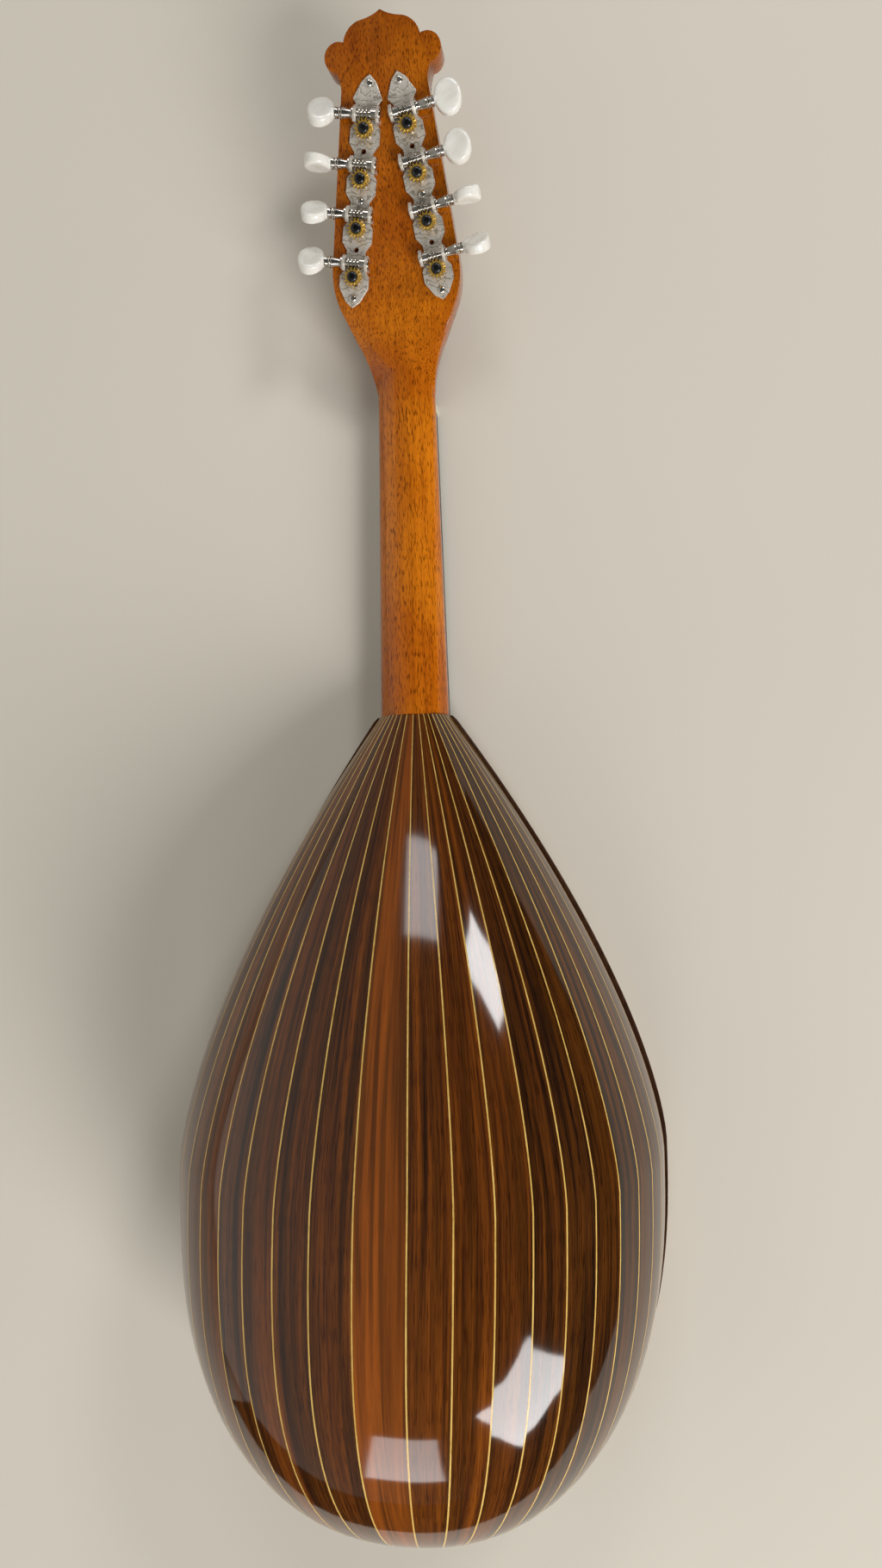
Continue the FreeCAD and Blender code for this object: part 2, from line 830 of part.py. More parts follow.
def plate_outline():
    """Right half of a plate's outline, from its top point down, drawn about the top post."""
    wide = plate_half_width
    slim = plate_neck_half
    last = -(tuners_per_side - 1) * tuner_pitch
    points = [(0, plate_end), (plate_tip_half, plate_end - plate_tip_drop), (wide, plate_end - plate_leaf_wide),
              (slim, plate_end - plate_leaf_end)]
    for number in range(tuners_per_side):
        y = -number * tuner_pitch
        lobe = list(zip((slim, wide, wide, slim), lobe_steps))
        for x, step in lobe if y > last else lobe[:2]:
            points.append((x, y + step))
    points.append((wide, last + lobe_last))
    points.append((plate_tip_half, last - plate_low_end + plate_low_tip))
    points.append((0, last - plate_low_end))
    return points


def tuner_plate(side):
    half = plate_outline()
    points = [V(x, y, 0) for x, y in half] + [V(-x, y, 0) for x, y in reversed(half[1:-1])]
    plate = prism(points, V(0, 0, plate_thickness))
    for number in range(tuners_per_side):
        y = -number * tuner_pitch
        plate = plate.cut(post_bore(post_radius + post_hole_clearance, V(0, y, -1), V(0, y, 3)))
        foot = box(inner_ear_x, outer_ear_x + ear_thickness, centre_distance - ear_half_width,
                   centre_distance + ear_half_width, 0, plate_thickness)
        if side < 0:
            foot.rotate(V(0, centre_distance, 0), V(0, 0, 1), 180)
        for piece in (foot, ear(side, inner_ear_x), ear(side, outer_ear_x)):
            piece.translate(V(0, y, 0))
            plate = plate.fuse(piece)
    for number in range(0, tuners_per_side, 2):
        y = -number * tuner_pitch - spare_hole_drop
        spare = prism(ring_points(spare_hole_radius, spare_hole_sides, -1.0), V(0, 0, plate_thickness + 2.0))
        spare.translate(V(0, y, 0))
        plate = plate.cut(spare)
    for _, number, shift in wood_screw_places()[:3]:
        core = square_core(wood_screw_core_half, -1, 3)
        core.translate(V(0, -number * tuner_pitch + shift, 0))
        plate = plate.cut(core)
    return plate.removeSplitter()


def wood_screws():
    screws = []
    for side, number, shift in wood_screw_places():
        body = screw(wood_screw_top_radius, wood_screw_radius, wood_screw_height, wood_screw_core_half,
                     wood_screw_length + plate_thickness)
        body.translate(V(0, 0, plate_thickness))
        screws.append(placed(body, side, number, shift))
    return screws


# fretboard, nut, bridge, tailpiece and strings


def rest_level(y):
    """Height of the plane that the nut and the saddle stand on."""
    return -nut_crown - (saddle_crown - nut_crown) * y / bridge_y


def fretboard():
    half_end = neck_half(fretboard_end_y)
    plan = [V(-neck_half(nut_back_y), nut_back_y, 0), V(neck_half(nut_back_y), nut_back_y, 0),
            V(half_end, fretboard_end_y, 0), V(-half_end, fretboard_end_y, 0)]
    return prism(plan, V(0, 0, -fretboard_thickness))


def frets():
    wires = []
    for number in range(1, fret_count + 1):
        y = bridge_y * (1.0 - 2.0 ** (-number / 12.0))
        half = neck_half(y) - fret_inset
        wires.append(box(-half, half, y - fret_width / 2, y + fret_width / 2,
                         -fretboard_thickness - fret_height, -fretboard_thickness))
    return wires


def string_list():
    """Side, post number, course radius and X at the nut and at the saddle of each string."""
    rows = []
    for course, radius in enumerate(string_radii):
        middle = course - 1.5
        for pair in (-1, 1):
            nut_x = middle * nut_course_pitch + pair * nut_pair_gap / 2
            saddle_x = middle * saddle_course_pitch + pair * saddle_pair_gap / 2
            side = -1 if course < 2 else 1
            rank = 2 * course + (pair + 1) // 2
            number = tuners_per_side - 1 - rank if side < 0 else rank - tuners_per_side
            rows.append((side, number, radius, nut_x, saddle_x))
    return rows


def crown_block(half, y0, y1, top):
    """Block across the strings whose outer face lies on the rest plane."""
    outline = [V(-half, y0, top), V(-half, y1, top), V(-half, y1, rest_level(y1)), V(-half, y0, rest_level(y0))]
    return prism(outline, V(2 * half, 0, 0))


def string_centre(y, radius):
    return rest_level(y) + slot_clearance + radius


def string_slots(y0, y1, columns):
    slots = []
    for x, radius in columns:
        width = radius + slot_clearance
        low = min(rest_level(y0), rest_level(y1)) - 1.0
        top = string_centre(0.5 * (y0 + y1), radius) + radius + slot_clearance
        slots.append(box(x - width, x + width, y0 - 1, y1 + 1, low, top))
    return slots


def nut():
    body = crown_block(neck_half_nut, nut_back_y, nut_front_y, 0.0)
    for slot in string_slots(nut_back_y, nut_front_y, [(row[3], row[2]) for row in string_list()]):
        body = body.cut(slot)
    return body


def saddle_span():
    return bridge_y - saddle_thickness / 2, bridge_y + saddle_thickness / 2


def bridge_saddle():
    y0, y1 = saddle_span()
    body = crown_block(saddle_half_length, y0, y1, -bridge_height + saddle_seat)
    for slot in string_slots(y0, y1, [(row[4], row[2]) for row in string_list()]):
        body = body.cut(slot)
    return body


def bridge():
    y0, y1 = bridge_y - bridge_width / 2, bridge_y + bridge_width / 2
    half = bridge_half_length
    crown = saddle_half_length + bridge_crown_spare
    foot = half - bridge_foot
    middle = bridge_middle_foot
    slope = bridge_arch_slope
    right = [(crown, bridge_height), (half, bridge_end_height), (half, 0), (foot, 0), (foot - slope, bridge_arch_height),
             (middle + slope, bridge_arch_height), (middle, 0)]
    outline = [V(x, y0, -z) for x, z in right] + [V(-x, y0, -z) for x, z in reversed(right)]
    body = prism(outline, V(0, bridge_width, 0))
    s0, s1 = saddle_span()
    return body.cut(box(-saddle_half_length, saddle_half_length, s0, s1, -20, -bridge_height + saddle_seat))


def tail_edge_y():
    right, _ = rim_outline(binding_width)
    return right[-1].y


def hook_y():
    return tail_edge_y() + tailpiece_length - hook_inset


def face_point(x, y, out):
    """Point standing out of the canted end of the face."""
    return V(x, y + out * sind(cant_angle), cant(y) - out * cosd(cant_angle))


def tailpiece():
    edge = tail_edge_y() - joint_clearance
    half = tailpiece_half_width
    thick = tailpiece_thickness
    inner = [face_point(-half, edge + tailpiece_length, 0), face_point(-half, edge, 0)]
    outer = [face_point(-half, edge + tailpiece_length, thick), face_point(-half, edge - thick, thick)]
    drop = cant(edge) + tailpiece_drop
    outline = [inner[0], inner[1], V(-half, edge, drop), V(-half, edge - thick, drop), outer[1], outer[0]]
    body = prism(outline, V(2 * half, 0, 0))
    for row in string_list():
        x = hook_x(row)
        base = hook_y()
        start = x - hook_width / 2
        low, high = thick - joint_clearance, thick + hook_height
        hook = [face_point(start, base, low), face_point(start, base - hook_depth, low),
                face_point(start, base - hook_depth, high), face_point(start, base, high)]
        body = body.fuse(prism(hook, V(hook_width, 0, 0)))
    for place in tail_screw_places():
        body = body.cut(tail_core(place, 0.0))
    return body


def tail_screw_places():
    rise = cant(tail_edge_y()) + tail_screw_rise
    return [V(x, tail_edge_y(), rise) for x in (-tail_screw_pitch, 0.0, tail_screw_pitch)]


def tail_core(place, grow):
    half = wood_screw_core_half + grow
    return box(place.x - half, place.x + half, place.y - 3.0, place.y + wood_screw_length,
               place.z - half, place.z + half)


def tailpiece_screws():
    screws = []
    for place in tail_screw_places():
        body = screw(wood_screw_top_radius, wood_screw_radius, wood_screw_height, wood_screw_core_half,
                     wood_screw_length)
        body.rotate(V(0, 0, 0), V(1, 0, 0), 90)
        body.translate(V(place.x, place.y - joint_clearance - tailpiece_thickness, place.z))
        screws.append(body)
    return screws


def hook_x(row):
    return row[4] * hook_spread


def tube(path, radius, sides):
    """Many-sided wire along a path of points."""
    rings = []
    side = None
    for i, point in enumerate(path):
        ahead = path[min(i + 1, len(path) - 1)] - point
        behind = point - path[max(i - 1, 0)]
        if ahead.Length:
            ahead.normalize()
        if behind.Length:
            behind.normalize()
        along = ahead + behind
        along.normalize()
        side = V(0, 0, 1) if side is None else side
        side = side - along * side.dot(along)
        side.normalize()
        other = along.cross(side)
        rings.append([point + side * (radius * cosd(360.0 * k / sides)) + other * (radius * sind(360.0 * k / sides))
                      for k in range(sides)])
    return skin(rings)


def winding(side, number, radius):
    """Points of the turns round a post, from the string's arrival on the post's inner side."""
    reach = (post_radius + winding_gap + radius) / cosd(180.0 / winding_steps)
    pitch = 2 * radius + 0.12
    ax, ay, az = tuner_axes(side)
    centre = post_place(side, number) - az * (head_thickness + winding_level)
    points = []
    for i in range(winding_turns * winding_steps + 1):
        angle = -side * 360.0 * i / winding_steps
        start = 180.0 if side > 0 else 0.0
        level = pitch * i / winding_steps
        points.append(centre + ax * (reach * cosd(start + angle)) + ay * (reach * sind(start + angle)) - az * level)
    return points


def strings():
    solids = []
    for row in string_list():
        side, number, radius, nut_x, saddle_x = row
        tail = face_point(hook_x(row), hook_y() + radius + 0.1, tailpiece_thickness + hook_height * 0.6)
        path = [tail,
                V(saddle_x, saddle_span()[0], string_centre(saddle_span()[0], radius)),
                V(saddle_x, saddle_span()[1], string_centre(saddle_span()[1], radius)),
                V(nut_x, nut_back_y, string_centre(nut_back_y, radius)),
                V(nut_x, nut_front_y, string_centre(nut_front_y, radius))]
        path += winding(side, number, radius)
        solids.append(tube(path, radius, string_sides))
    return solids


# setting on the rest plane and writing


def tip_angle():
    return math.degrees(math.atan((saddle_crown - nut_crown) / scale_length))


def crest_y():
    return head_point(0, head_length, -head_thickness).y


def on_rest_plane(shape):
    """Turn the drawing so that nut and saddle stand on Z = 0, with the middle of its plan at the origin."""
    copy = shape.copy()
    copy.translate(V(0, 0, nut_crown))
    copy.rotate(V(0, 0, 0), V(1, 0, 0), -tip_angle())
    copy.translate(V(0, -plan_middle(), 0))
    return copy


def plan_middle():
    high = V(0, crest_y(), head_point(0, head_length, -head_thickness).z + nut_crown)
    low_y = tail_edge_y() - joint_clearance - tailpiece_thickness
    low = V(0, low_y, cant(low_y) - tailpiece_thickness + nut_crown)
    turn = FreeCAD.Rotation(V(1, 0, 0), -tip_angle())
    return 0.5 * (turn.multVec(high).y + turn.multVec(low).y)


def tuner_nodes():
    button, wheel, post, cap = tuner_button(), gear_wheel(), string_post(), gear_screw()
    nodes = {}
    for name, side, turns in SIDES:
        for number in range(tuners_per_side):
            label = "%s_%d" % (name, number + 1)
            nodes["worm_shaft_" + label] = placed(on_worm(worm_shaft(turns[number]), side, 0.0), side, number)
            nodes["tuner_button_" + label] = placed(on_worm(button, side, turns[number]), side, number)
            nodes["gear_wheel_" + label] = placed(wheel, side, number)
            nodes["string_post_" + label] = placed(post, side, number)
            nodes["gear_screw_" + label] = placed(cap, side, number)
    return nodes


def tuner_plates():
    return [placed(tuner_plate(side), side, 0) for _, side, _ in SIDES]


def mandolin():
    nodes = {
        "neck": neck(),
        "bowl_ribs": bowl_ribs(),
        "neck_block": neck_block(),
        "tail_block": tail_block(),
        "rim_linings": [lining(-1), lining(1)],
        "soundboard": soundboard(),
        "soundboard_bars": soundboard_bars(),
        "soundhole_rosette": soundhole_rosette(),
        "edge_binding": edge_binding(),
        "scratchplate": scratchplate(),
        "fretboard": fretboard(),
        "frets": frets(),
        "nut": nut(),
        "bridge": bridge(),
        "bridge_saddle": bridge_saddle(),
        "tailpiece": tailpiece(),
        "strings": strings(),
        "tuner_plates": tuner_plates(),
        "plate_screws": wood_screws(),
        "tailpiece_screws": tailpiece_screws(),
    }
    nodes.update(tuner_nodes())
    return nodes


def main():
    os.makedirs("parts", exist_ok=True)
    for name, solids in mandolin().items():
        solids = solids if isinstance(solids, list) else [solids]
        group = [on_rest_plane(solid) for solid in solids]
        shape = group[0] if len(group) == 1 else Part.makeCompound(group)
        shape.exportStep("parts/%s.step" % name)


main()
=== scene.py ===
import json
import math
import bpy
from mathutils import Matrix, Vector


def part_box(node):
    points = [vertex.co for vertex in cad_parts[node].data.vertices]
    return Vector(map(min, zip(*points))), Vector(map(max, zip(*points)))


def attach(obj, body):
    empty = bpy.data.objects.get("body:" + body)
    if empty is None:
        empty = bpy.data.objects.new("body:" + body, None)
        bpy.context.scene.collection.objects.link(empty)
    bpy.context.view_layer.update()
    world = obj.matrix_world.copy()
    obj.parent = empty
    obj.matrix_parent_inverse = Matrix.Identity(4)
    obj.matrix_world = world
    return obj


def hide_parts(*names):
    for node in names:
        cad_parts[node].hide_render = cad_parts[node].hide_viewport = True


# Bowl back mandolin lying face down, seen from above its back.
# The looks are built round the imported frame, in metres.
# Shapes are drawn in millimetres and scaled as they are placed.

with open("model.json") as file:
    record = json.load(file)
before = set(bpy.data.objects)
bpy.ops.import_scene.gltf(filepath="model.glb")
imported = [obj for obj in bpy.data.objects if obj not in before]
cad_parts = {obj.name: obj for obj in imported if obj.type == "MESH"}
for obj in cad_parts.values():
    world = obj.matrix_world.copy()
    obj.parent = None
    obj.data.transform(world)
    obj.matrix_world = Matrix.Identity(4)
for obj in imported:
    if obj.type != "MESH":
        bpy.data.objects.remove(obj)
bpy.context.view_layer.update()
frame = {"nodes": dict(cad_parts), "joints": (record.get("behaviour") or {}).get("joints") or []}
joints = {joint["name"]: joint for joint in frame["joints"]}
mm = 0.001
fixedBody = "instrument"

bpy.context.scene.view_settings.view_transform = "Standard"
print("frame loaded:", len(frame["nodes"]), "nodes")


# selecting, editing and finishing

def selectOnly(piece):
    bpy.ops.object.select_all(action="DESELECT")
    piece.select_set(True)
    bpy.context.view_layer.objects.active = piece


def startEdit(piece):
    selectOnly(piece)
    bpy.ops.object.mode_set(mode="EDIT")
    bpy.ops.mesh.select_all(action="SELECT")


def endEdit():
    bpy.ops.object.mode_set(mode="OBJECT")


def faceOutwards(piece):
    startEdit(piece)
    bpy.ops.mesh.normals_make_consistent(inside=False)
    endEdit()


def applyModifier(piece, kind, **values):
    selectOnly(piece)
    modifier = piece.modifiers.new(kind.lower(), kind)
    for name, value in values.items():
        setattr(modifier, name, value)
    bpy.ops.object.modifier_apply(modifier=modifier.name)


def roundEdges(piece, width, segments=2, angle=30.0):
    applyModifier(piece, "BEVEL", width=width, segments=segments, limit_method="ANGLE",
                  angle_limit=math.radians(angle), harden_normals=False)


def smoothByAngle(piece, angle=35.0):
    selectOnly(piece)
    bpy.ops.object.shade_smooth_by_angle(angle=math.radians(angle))


def joinPieces(pieces, name):
    bpy.ops.object.select_all(action="DESELECT")
    for piece in pieces:
        piece.select_set(True)
    bpy.context.view_layer.objects.active = pieces[0]
    if len(pieces) > 1:
        bpy.ops.object.join()
    joined = bpy.context.view_layer.objects.active
    joined.name = name
    return joined


def cutWith(piece, cutter, keep=False):
    applyModifier(piece, "BOOLEAN", operation="DIFFERENCE", object=cutter, solver="EXACT")
    if not keep:
        bpy.data.objects.remove(cutter)


def newPiece(name):
    piece = bpy.context.view_layer.objects.active
    piece.name = name
    return piece


def placeAtOrigin(piece, matrix):
    piece.data.transform(matrix)
    piece.matrix_world = Matrix.Identity(4)
    piece.data.update()


def copyShape(source, name):
    piece = source.copy()
    piece.data = source.data.copy()
    piece.name = name
    piece.parent = None
    for key in [key for key in piece.keys() if key.startswith("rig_")]:
        del piece[key]
    bpy.context.scene.collection.objects.link(piece)
    return piece


def finishPiece(piece, materials, body, slotName, nodes):
    if materials:
        piece.data.materials.clear()
        for material in materials:
            piece.data.materials.append(material)
    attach(piece, body)
    if nodes:
        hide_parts(*nodes)
    return piece


def copyNode(node, name, mergeDistance=0.00002):
    piece = copyShape(frame["nodes"][node], name)
    startEdit(piece)
    bpy.ops.mesh.remove_doubles(threshold=mergeDistance)
    bpy.ops.mesh.dissolve_limited(angle_limit=math.radians(0.8))
    endEdit()
    return piece


# effects that several finishes share

def newGroup(name, inputs, outputs):
    group = bpy.data.node_groups.new(name, "ShaderNodeTree")
    for label, kind, value in inputs:
        socket = group.interface.new_socket(label, in_out="INPUT", socket_type=kind)
        if kind != "NodeSocketVector":
            socket.default_value = value
    for label, kind in outputs:
        group.interface.new_socket(label, in_out="OUTPUT", socket_type=kind)
    return group, group.nodes.new("NodeGroupInput"), group.nodes.new("NodeGroupOutput")


def addNode(tree, kind, values=None, **settings):
    node = tree.nodes.new(kind)
    for name, value in settings.items():
        setattr(node, name, value)
    for name, value in (values or {}).items():
        node.inputs[name].default_value = value
    return node


def addMath(tree, operation, first, second, clamp=False):
    node = addNode(tree, "ShaderNodeMath", operation=operation, use_clamp=clamp)
    for index, value in enumerate((first, second)):
        if isinstance(value, (int, float)):
            node.inputs[index].default_value = value
        else:
            tree.links.new(value, node.inputs[index])
    return node.outputs[0]


def addRange(tree, value, low, high, toLow=0.0, toHigh=1.0):
    node = addNode(tree, "ShaderNodeMapRange",
                   {"From Min": low, "From Max": high, "To Min": toLow, "To Max": toHigh})
    tree.links.new(value, node.inputs["Value"])
    return node.outputs["Result"]


def addMix(tree, factor, first, second, blend="MIX"):
    node = addNode(tree, "ShaderNodeMix", data_type="RGBA", blend_type=blend)
    for socket, value in ((node.inputs[0], factor), (node.inputs[6], first), (node.inputs[7], second)):
        if isinstance(value, (int, float)):
            socket.default_value = value
        elif isinstance(value, (tuple, list)):
            socket.default_value = tuple(value) + (1.0,) * (4 - len(value))
        else:
            tree.links.new(value, socket)
    return node.outputs[2]


def addNoise(tree, vector, scale, detail=3.0, roughness=0.5, distortion=0.0):
    node = addNode(tree, "ShaderNodeTexNoise",
                   {"Detail": detail, "Roughness": roughness, "Distortion": distortion})
    if isinstance(scale, (int, float)):
        node.inputs["Scale"].default_value = scale
    else:
        tree.links.new(scale, node.inputs["Scale"])
    tree.links.new(vector, node.inputs["Vector"])
    return node.outputs["Fac"]


grainLook = {"fineTimes": 5.5, "broadShare": 0.6, "spread": 6.0, "fleckStretch": (8.0, 26.0, 8.0),
             "fleckLow": 0.55, "fleckHigh": 0.64, "fleckShade": (0.32, 0.26, 0.22)}


def makeWoodGrain():
    look = grainLook
    group, start, end = newGroup(
        "woodGrain",
        (("Vector", "NodeSocketVector", None), ("Light", "NodeSocketColor", (0.5, 0.2, 0.05, 1.0)),
         ("Dark", "NodeSocketColor", (0.1, 0.04, 0.01, 1.0)), ("Streaks", "NodeSocketFloat", 1.0),
         ("Contrast", "NodeSocketFloat", 0.5), ("Pores", "NodeSocketFloat", 0.5)),
        (("Color", "NodeSocketColor"), ("Height", "NodeSocketFloat")))
    vector = start.outputs["Vector"]
    streaks = start.outputs["Streaks"]
    broad = addNoise(group, vector, streaks, 4.0, 0.55, 0.6)
    fine = addNoise(group, vector, addMath(group, "MULTIPLY", streaks, look["fineTimes"]), 3.0, 0.6, 0.2)
    stretched = addNode(group, "ShaderNodeVectorMath", operation="MULTIPLY")
    stretched.inputs[1].default_value = look["fleckStretch"]
    group.links.new(vector, stretched.inputs[0])
    flecks = addNoise(group, stretched.outputs[0], streaks, 1.0, 0.4)
    tone = addMath(group, "ADD", addMath(group, "MULTIPLY", broad, look["broadShare"]),
                   addMath(group, "MULTIPLY", fine, 1.0 - look["broadShare"]))
    spread = addMath(group, "MULTIPLY", start.outputs["Contrast"], look["spread"])
    centred = addMath(group, "MULTIPLY", addMath(group, "SUBTRACT", tone, 0.5), spread)
    share = addMath(group, "ADD", centred, 0.5, clamp=True)
    wood = addMix(group, share, start.outputs["Dark"], start.outputs["Light"])
    poreMask = addRange(group, flecks, look["fleckLow"], look["fleckHigh"])
    poreShare = addMath(group, "MULTIPLY", poreMask, start.outputs["Pores"])
    deep = addMix(group, 1.0, wood, look["fleckShade"], "MULTIPLY")
    group.links.new(addMix(group, poreShare, wood, deep), end.inputs["Color"])
    group.links.new(addMath(group, "SUBTRACT", share, poreShare), end.inputs["Height"])
    return group


def makeHandledGloss():
    group, start, end = newGroup(
        "handledGloss",
        (("Vector", "NodeSocketVector", None), ("Scale", "NodeSocketFloat", 40.0),
         ("Low", "NodeSocketFloat", 0.1), ("High", "NodeSocketFloat", 0.3)),
        (("Roughness", "NodeSocketFloat"), ("Height", "NodeSocketFloat")))
    smears = addNoise(group, start.outputs["Vector"], start.outputs["Scale"], 4.0, 0.6)
    share = addRange(group, smears, 0.35, 0.65)
    width = addMath(group, "SUBTRACT", start.outputs["High"], start.outputs["Low"])
    rough = addMath(group, "ADD", start.outputs["Low"], addMath(group, "MULTIPLY", share, width))
    group.links.new(rough, end.inputs["Roughness"])
    group.links.new(smears, end.inputs["Height"])
    return group


woodGrain = makeWoodGrain()
handledGloss = makeHandledGloss()


def startMaterial(name):
    material = bpy.data.materials.new(name)
    material.use_nodes = True
    tree = material.node_tree
    shader = tree.nodes["Principled BSDF"]
    place = tree.nodes.new("ShaderNodeTexCoord")
    return material, tree, shader, place


def addMapping(tree, source, scale, turn=(0.0, 0.0, 0.0), shift=(0.0, 0.0, 0.0)):
    node = addNode(tree, "ShaderNodeMapping")
    node.inputs["Scale"].default_value = scale
    node.inputs["Rotation"].default_value = turn
    node.inputs["Location"].default_value = shift
    tree.links.new(source, node.inputs["Vector"])
    return node.outputs["Vector"]


def useGroup(tree, group, values, vector):
    node = tree.nodes.new("ShaderNodeGroup")
    node.node_tree = group
    for name, value in values.items():
        node.inputs[name].default_value = value
    tree.links.new(vector, node.inputs["Vector"])
    return node


def addBump(tree, shader, height, strength, distance):
    bump = addNode(tree, "ShaderNodeBump", {"Strength": strength, "Distance": distance})
    tree.links.new(height, bump.inputs["Height"])
    tree.links.new(bump.outputs["Normal"], shader.inputs["Normal"])
    return bump


def addGloss(tree, shader, vector, scale, low, high):
    gloss = useGroup(tree, handledGloss, {"Scale": scale, "Low": low, "High": high}, vector)
    tree.links.new(gloss.outputs["Roughness"], shader.inputs["Roughness"])
    return gloss


def makeWood(name, look):
    material, tree, shader, place = startMaterial(name)
    vector = addMapping(tree, place.outputs["Object"], look["stretch"])
    grain = useGroup(tree, woodGrain, {"Light": look["light"] + (1.0,), "Dark": look["dark"] + (1.0,),
                                       "Streaks": look["streaks"], "Contrast": look["contrast"],
                                       "Pores": look["pores"]}, vector)
    color = grain.outputs["Color"]
    if "cloud" in look:
        cloud = addNoise(tree, place.outputs["Object"], look["cloudScale"], 2.0)
        color = addMix(tree, addRange(tree, cloud, 0.4, 0.65), color,
                       addMix(tree, 1.0, color, look["cloud"], "MULTIPLY"))
    if "darker" in look:
        start, end, tint = look["darker"]
        apart = addNode(tree, "ShaderNodeSeparateXYZ")
        tree.links.new(place.outputs["Object"], apart.inputs[0])
        color = addMix(tree, addRange(tree, apart.outputs["Y"], start, end), color,
                       addMix(tree, 1.0, color, tint, "MULTIPLY"))
    tree.links.new(color, shader.inputs["Base Color"])
    addGloss(tree, shader, place.outputs["Object"], look["smears"], look["low"], look["high"])
    addBump(tree, shader, grain.outputs["Height"], look["bump"], 0.0002)
    shader.inputs["Specular IOR Level"].default_value = max(0.0, 0.5 - 0.6 * look["coat"])
    shader.inputs["Coat IOR"].default_value = 1.4
    shader.inputs["Coat Weight"].default_value = look["coat"]
    shader.inputs["Coat Roughness"].default_value = look["coatRoughness"]
    return material


neckWood = makeWood("neckMahogany", {
    "stretch": (520.0, 22.0, 520.0), "light": (0.68, 0.200, 0.007), "dark": (0.37, 0.092, 0.003),
    "streaks": 0.5, "contrast": 0.42, "pores": 0.8, "cloud": (0.80, 0.68, 0.60), "cloudScale": 26.0,
    "smears": 60.0,
    "darker": (0.15, 0.33, (0.62, 0.56, 0.50)), "low": 0.22, "high": 0.38, "bump": 0.10, "coat": 0.8,
    "coatRoughness": 0.08})
boardSpruce = makeWood("spruceFace", {
    "stretch": (900.0, 6.0, 900.0), "light": (0.72, 0.47, 0.19), "dark": (0.52, 0.29, 0.09), "streaks": 0.7,
    "contrast": 0.5, "pores": 0.15, "smears": 35.0, "low": 0.25, "high": 0.40, "bump": 0.05, "coat": 0.5,
    "coatRoughness": 0.15})
innerWood = makeWood("bareInnerWood", {
    "stretch": (60.0, 400.0, 400.0), "light": (0.62, 0.42, 0.20), "dark": (0.44, 0.26, 0.10), "streaks": 0.6,
    "contrast": 0.5, "pores": 0.3, "smears": 30.0, "low": 0.6, "high": 0.8, "bump": 0.15, "coat": 0.0,
    "coatRoughness": 0.3})
ebonyWood = makeWood("ebonyBlack", {
    "stretch": (500.0, 18.0, 500.0), "light": (0.050, 0.032, 0.024), "dark": (0.016, 0.011, 0.009),
    "streaks": 0.6, "contrast": 0.5, "pores": 0.5, "smears": 50.0, "low": 0.30, "high": 0.48,
    "bump": 0.12, "coat": 0.2,
    "coatRoughness": 0.3})
rimWood = makeWood("rimBlackwood", {
    "stretch": (400.0, 20.0, 400.0), "light": (0.150, 0.068, 0.040), "dark": (0.055, 0.025, 0.016),
    "streaks": 0.5, "contrast": 0.5, "pores": 0.2, "smears": 40.0, "low": 0.25, "high": 0.40,
    "bump": 0.05, "coat": 0.8,
    "coatRoughness": 0.08})
lineWood = makeWood("paleLineWood", {
    "stretch": (700.0, 30.0, 700.0), "light": (0.82, 0.55, 0.16), "dark": (0.60, 0.36, 0.08), "streaks": 0.3,
    "contrast": 0.6, "pores": 0.2, "smears": 50.0, "low": 0.3, "high": 0.45, "bump": 0.05, "coat": 0.8,
    "coatRoughness": 0.08})


def makeRibWood():
    look = {"redLight": (0.42, 0.105, 0.009, 1.0), "redDark": (0.150, 0.036, 0.005, 1.0),
            "darkLight": (0.115, 0.034, 0.004, 1.0), "darkDark": (0.016, 0.006, 0.003, 1.0),
            "stretch": (560.0, 7.0, 1.0), "streaks": 0.6, "olive": (0.42, 0.47, 0.62),
            "figureStretch": (190.0, 4.0, 1.0), "darkTone": 0.2, "redTone": 0.9}
    material, tree, shader, place = startMaterial("ribRosewood")
    # The per-rib tone attribute picks between dark and red rosewood; on the right-hand ribs it also carries
    # painted shade.
    tone = addNode(tree, "ShaderNodeAttribute", attribute_name="ribShadeAndTone")
    vector = addMapping(tree, place.outputs["UV"], look["stretch"])
    light = addMix(tree, tone.outputs["Fac"], look["darkLight"], look["redLight"])
    dark = addMix(tree, tone.outputs["Fac"], look["darkDark"], look["redDark"])
    grain = useGroup(tree, woodGrain, {"Streaks": look["streaks"]}, vector)
    tree.links.new(light, grain.inputs["Light"])
    tree.links.new(dark, grain.inputs["Dark"])
    for label, inDark, inRed in (("Pores", 0.75, 0.15), ("Contrast", 0.85, 0.45)):
        share = addRange(tree, tone.outputs["Fac"], look["darkTone"], look["redTone"], inDark, inRed)
        tree.links.new(share, grain.inputs[label])
    figureVector = addMapping(tree, place.outputs["UV"], look["figureStretch"])
    figure = addNoise(tree, figureVector, 1.0, 3.0, 0.6, 0.8)
    shade = addMix(tree, addRange(tree, figure, 0.44, 0.60), grain.outputs["Color"],
                   addMix(tree, 1.0, grain.outputs["Color"], look["olive"], "MULTIPLY"))
    tree.links.new(shade, shader.inputs["Base Color"])
    addGloss(tree, shader, place.outputs["Object"], 45.0, 0.28, 0.42)
    addBump(tree, shader, grain.outputs["Height"], 0.04, 0.0001)
    shader.inputs["Specular IOR Level"].default_value = 0.0
    shader.inputs["Coat Weight"].default_value = 1.0
    shader.inputs["Coat Roughness"].default_value = 0.07
    shader.inputs["Coat IOR"].default_value = 1.5
    return material


ribWood = makeRibWood()


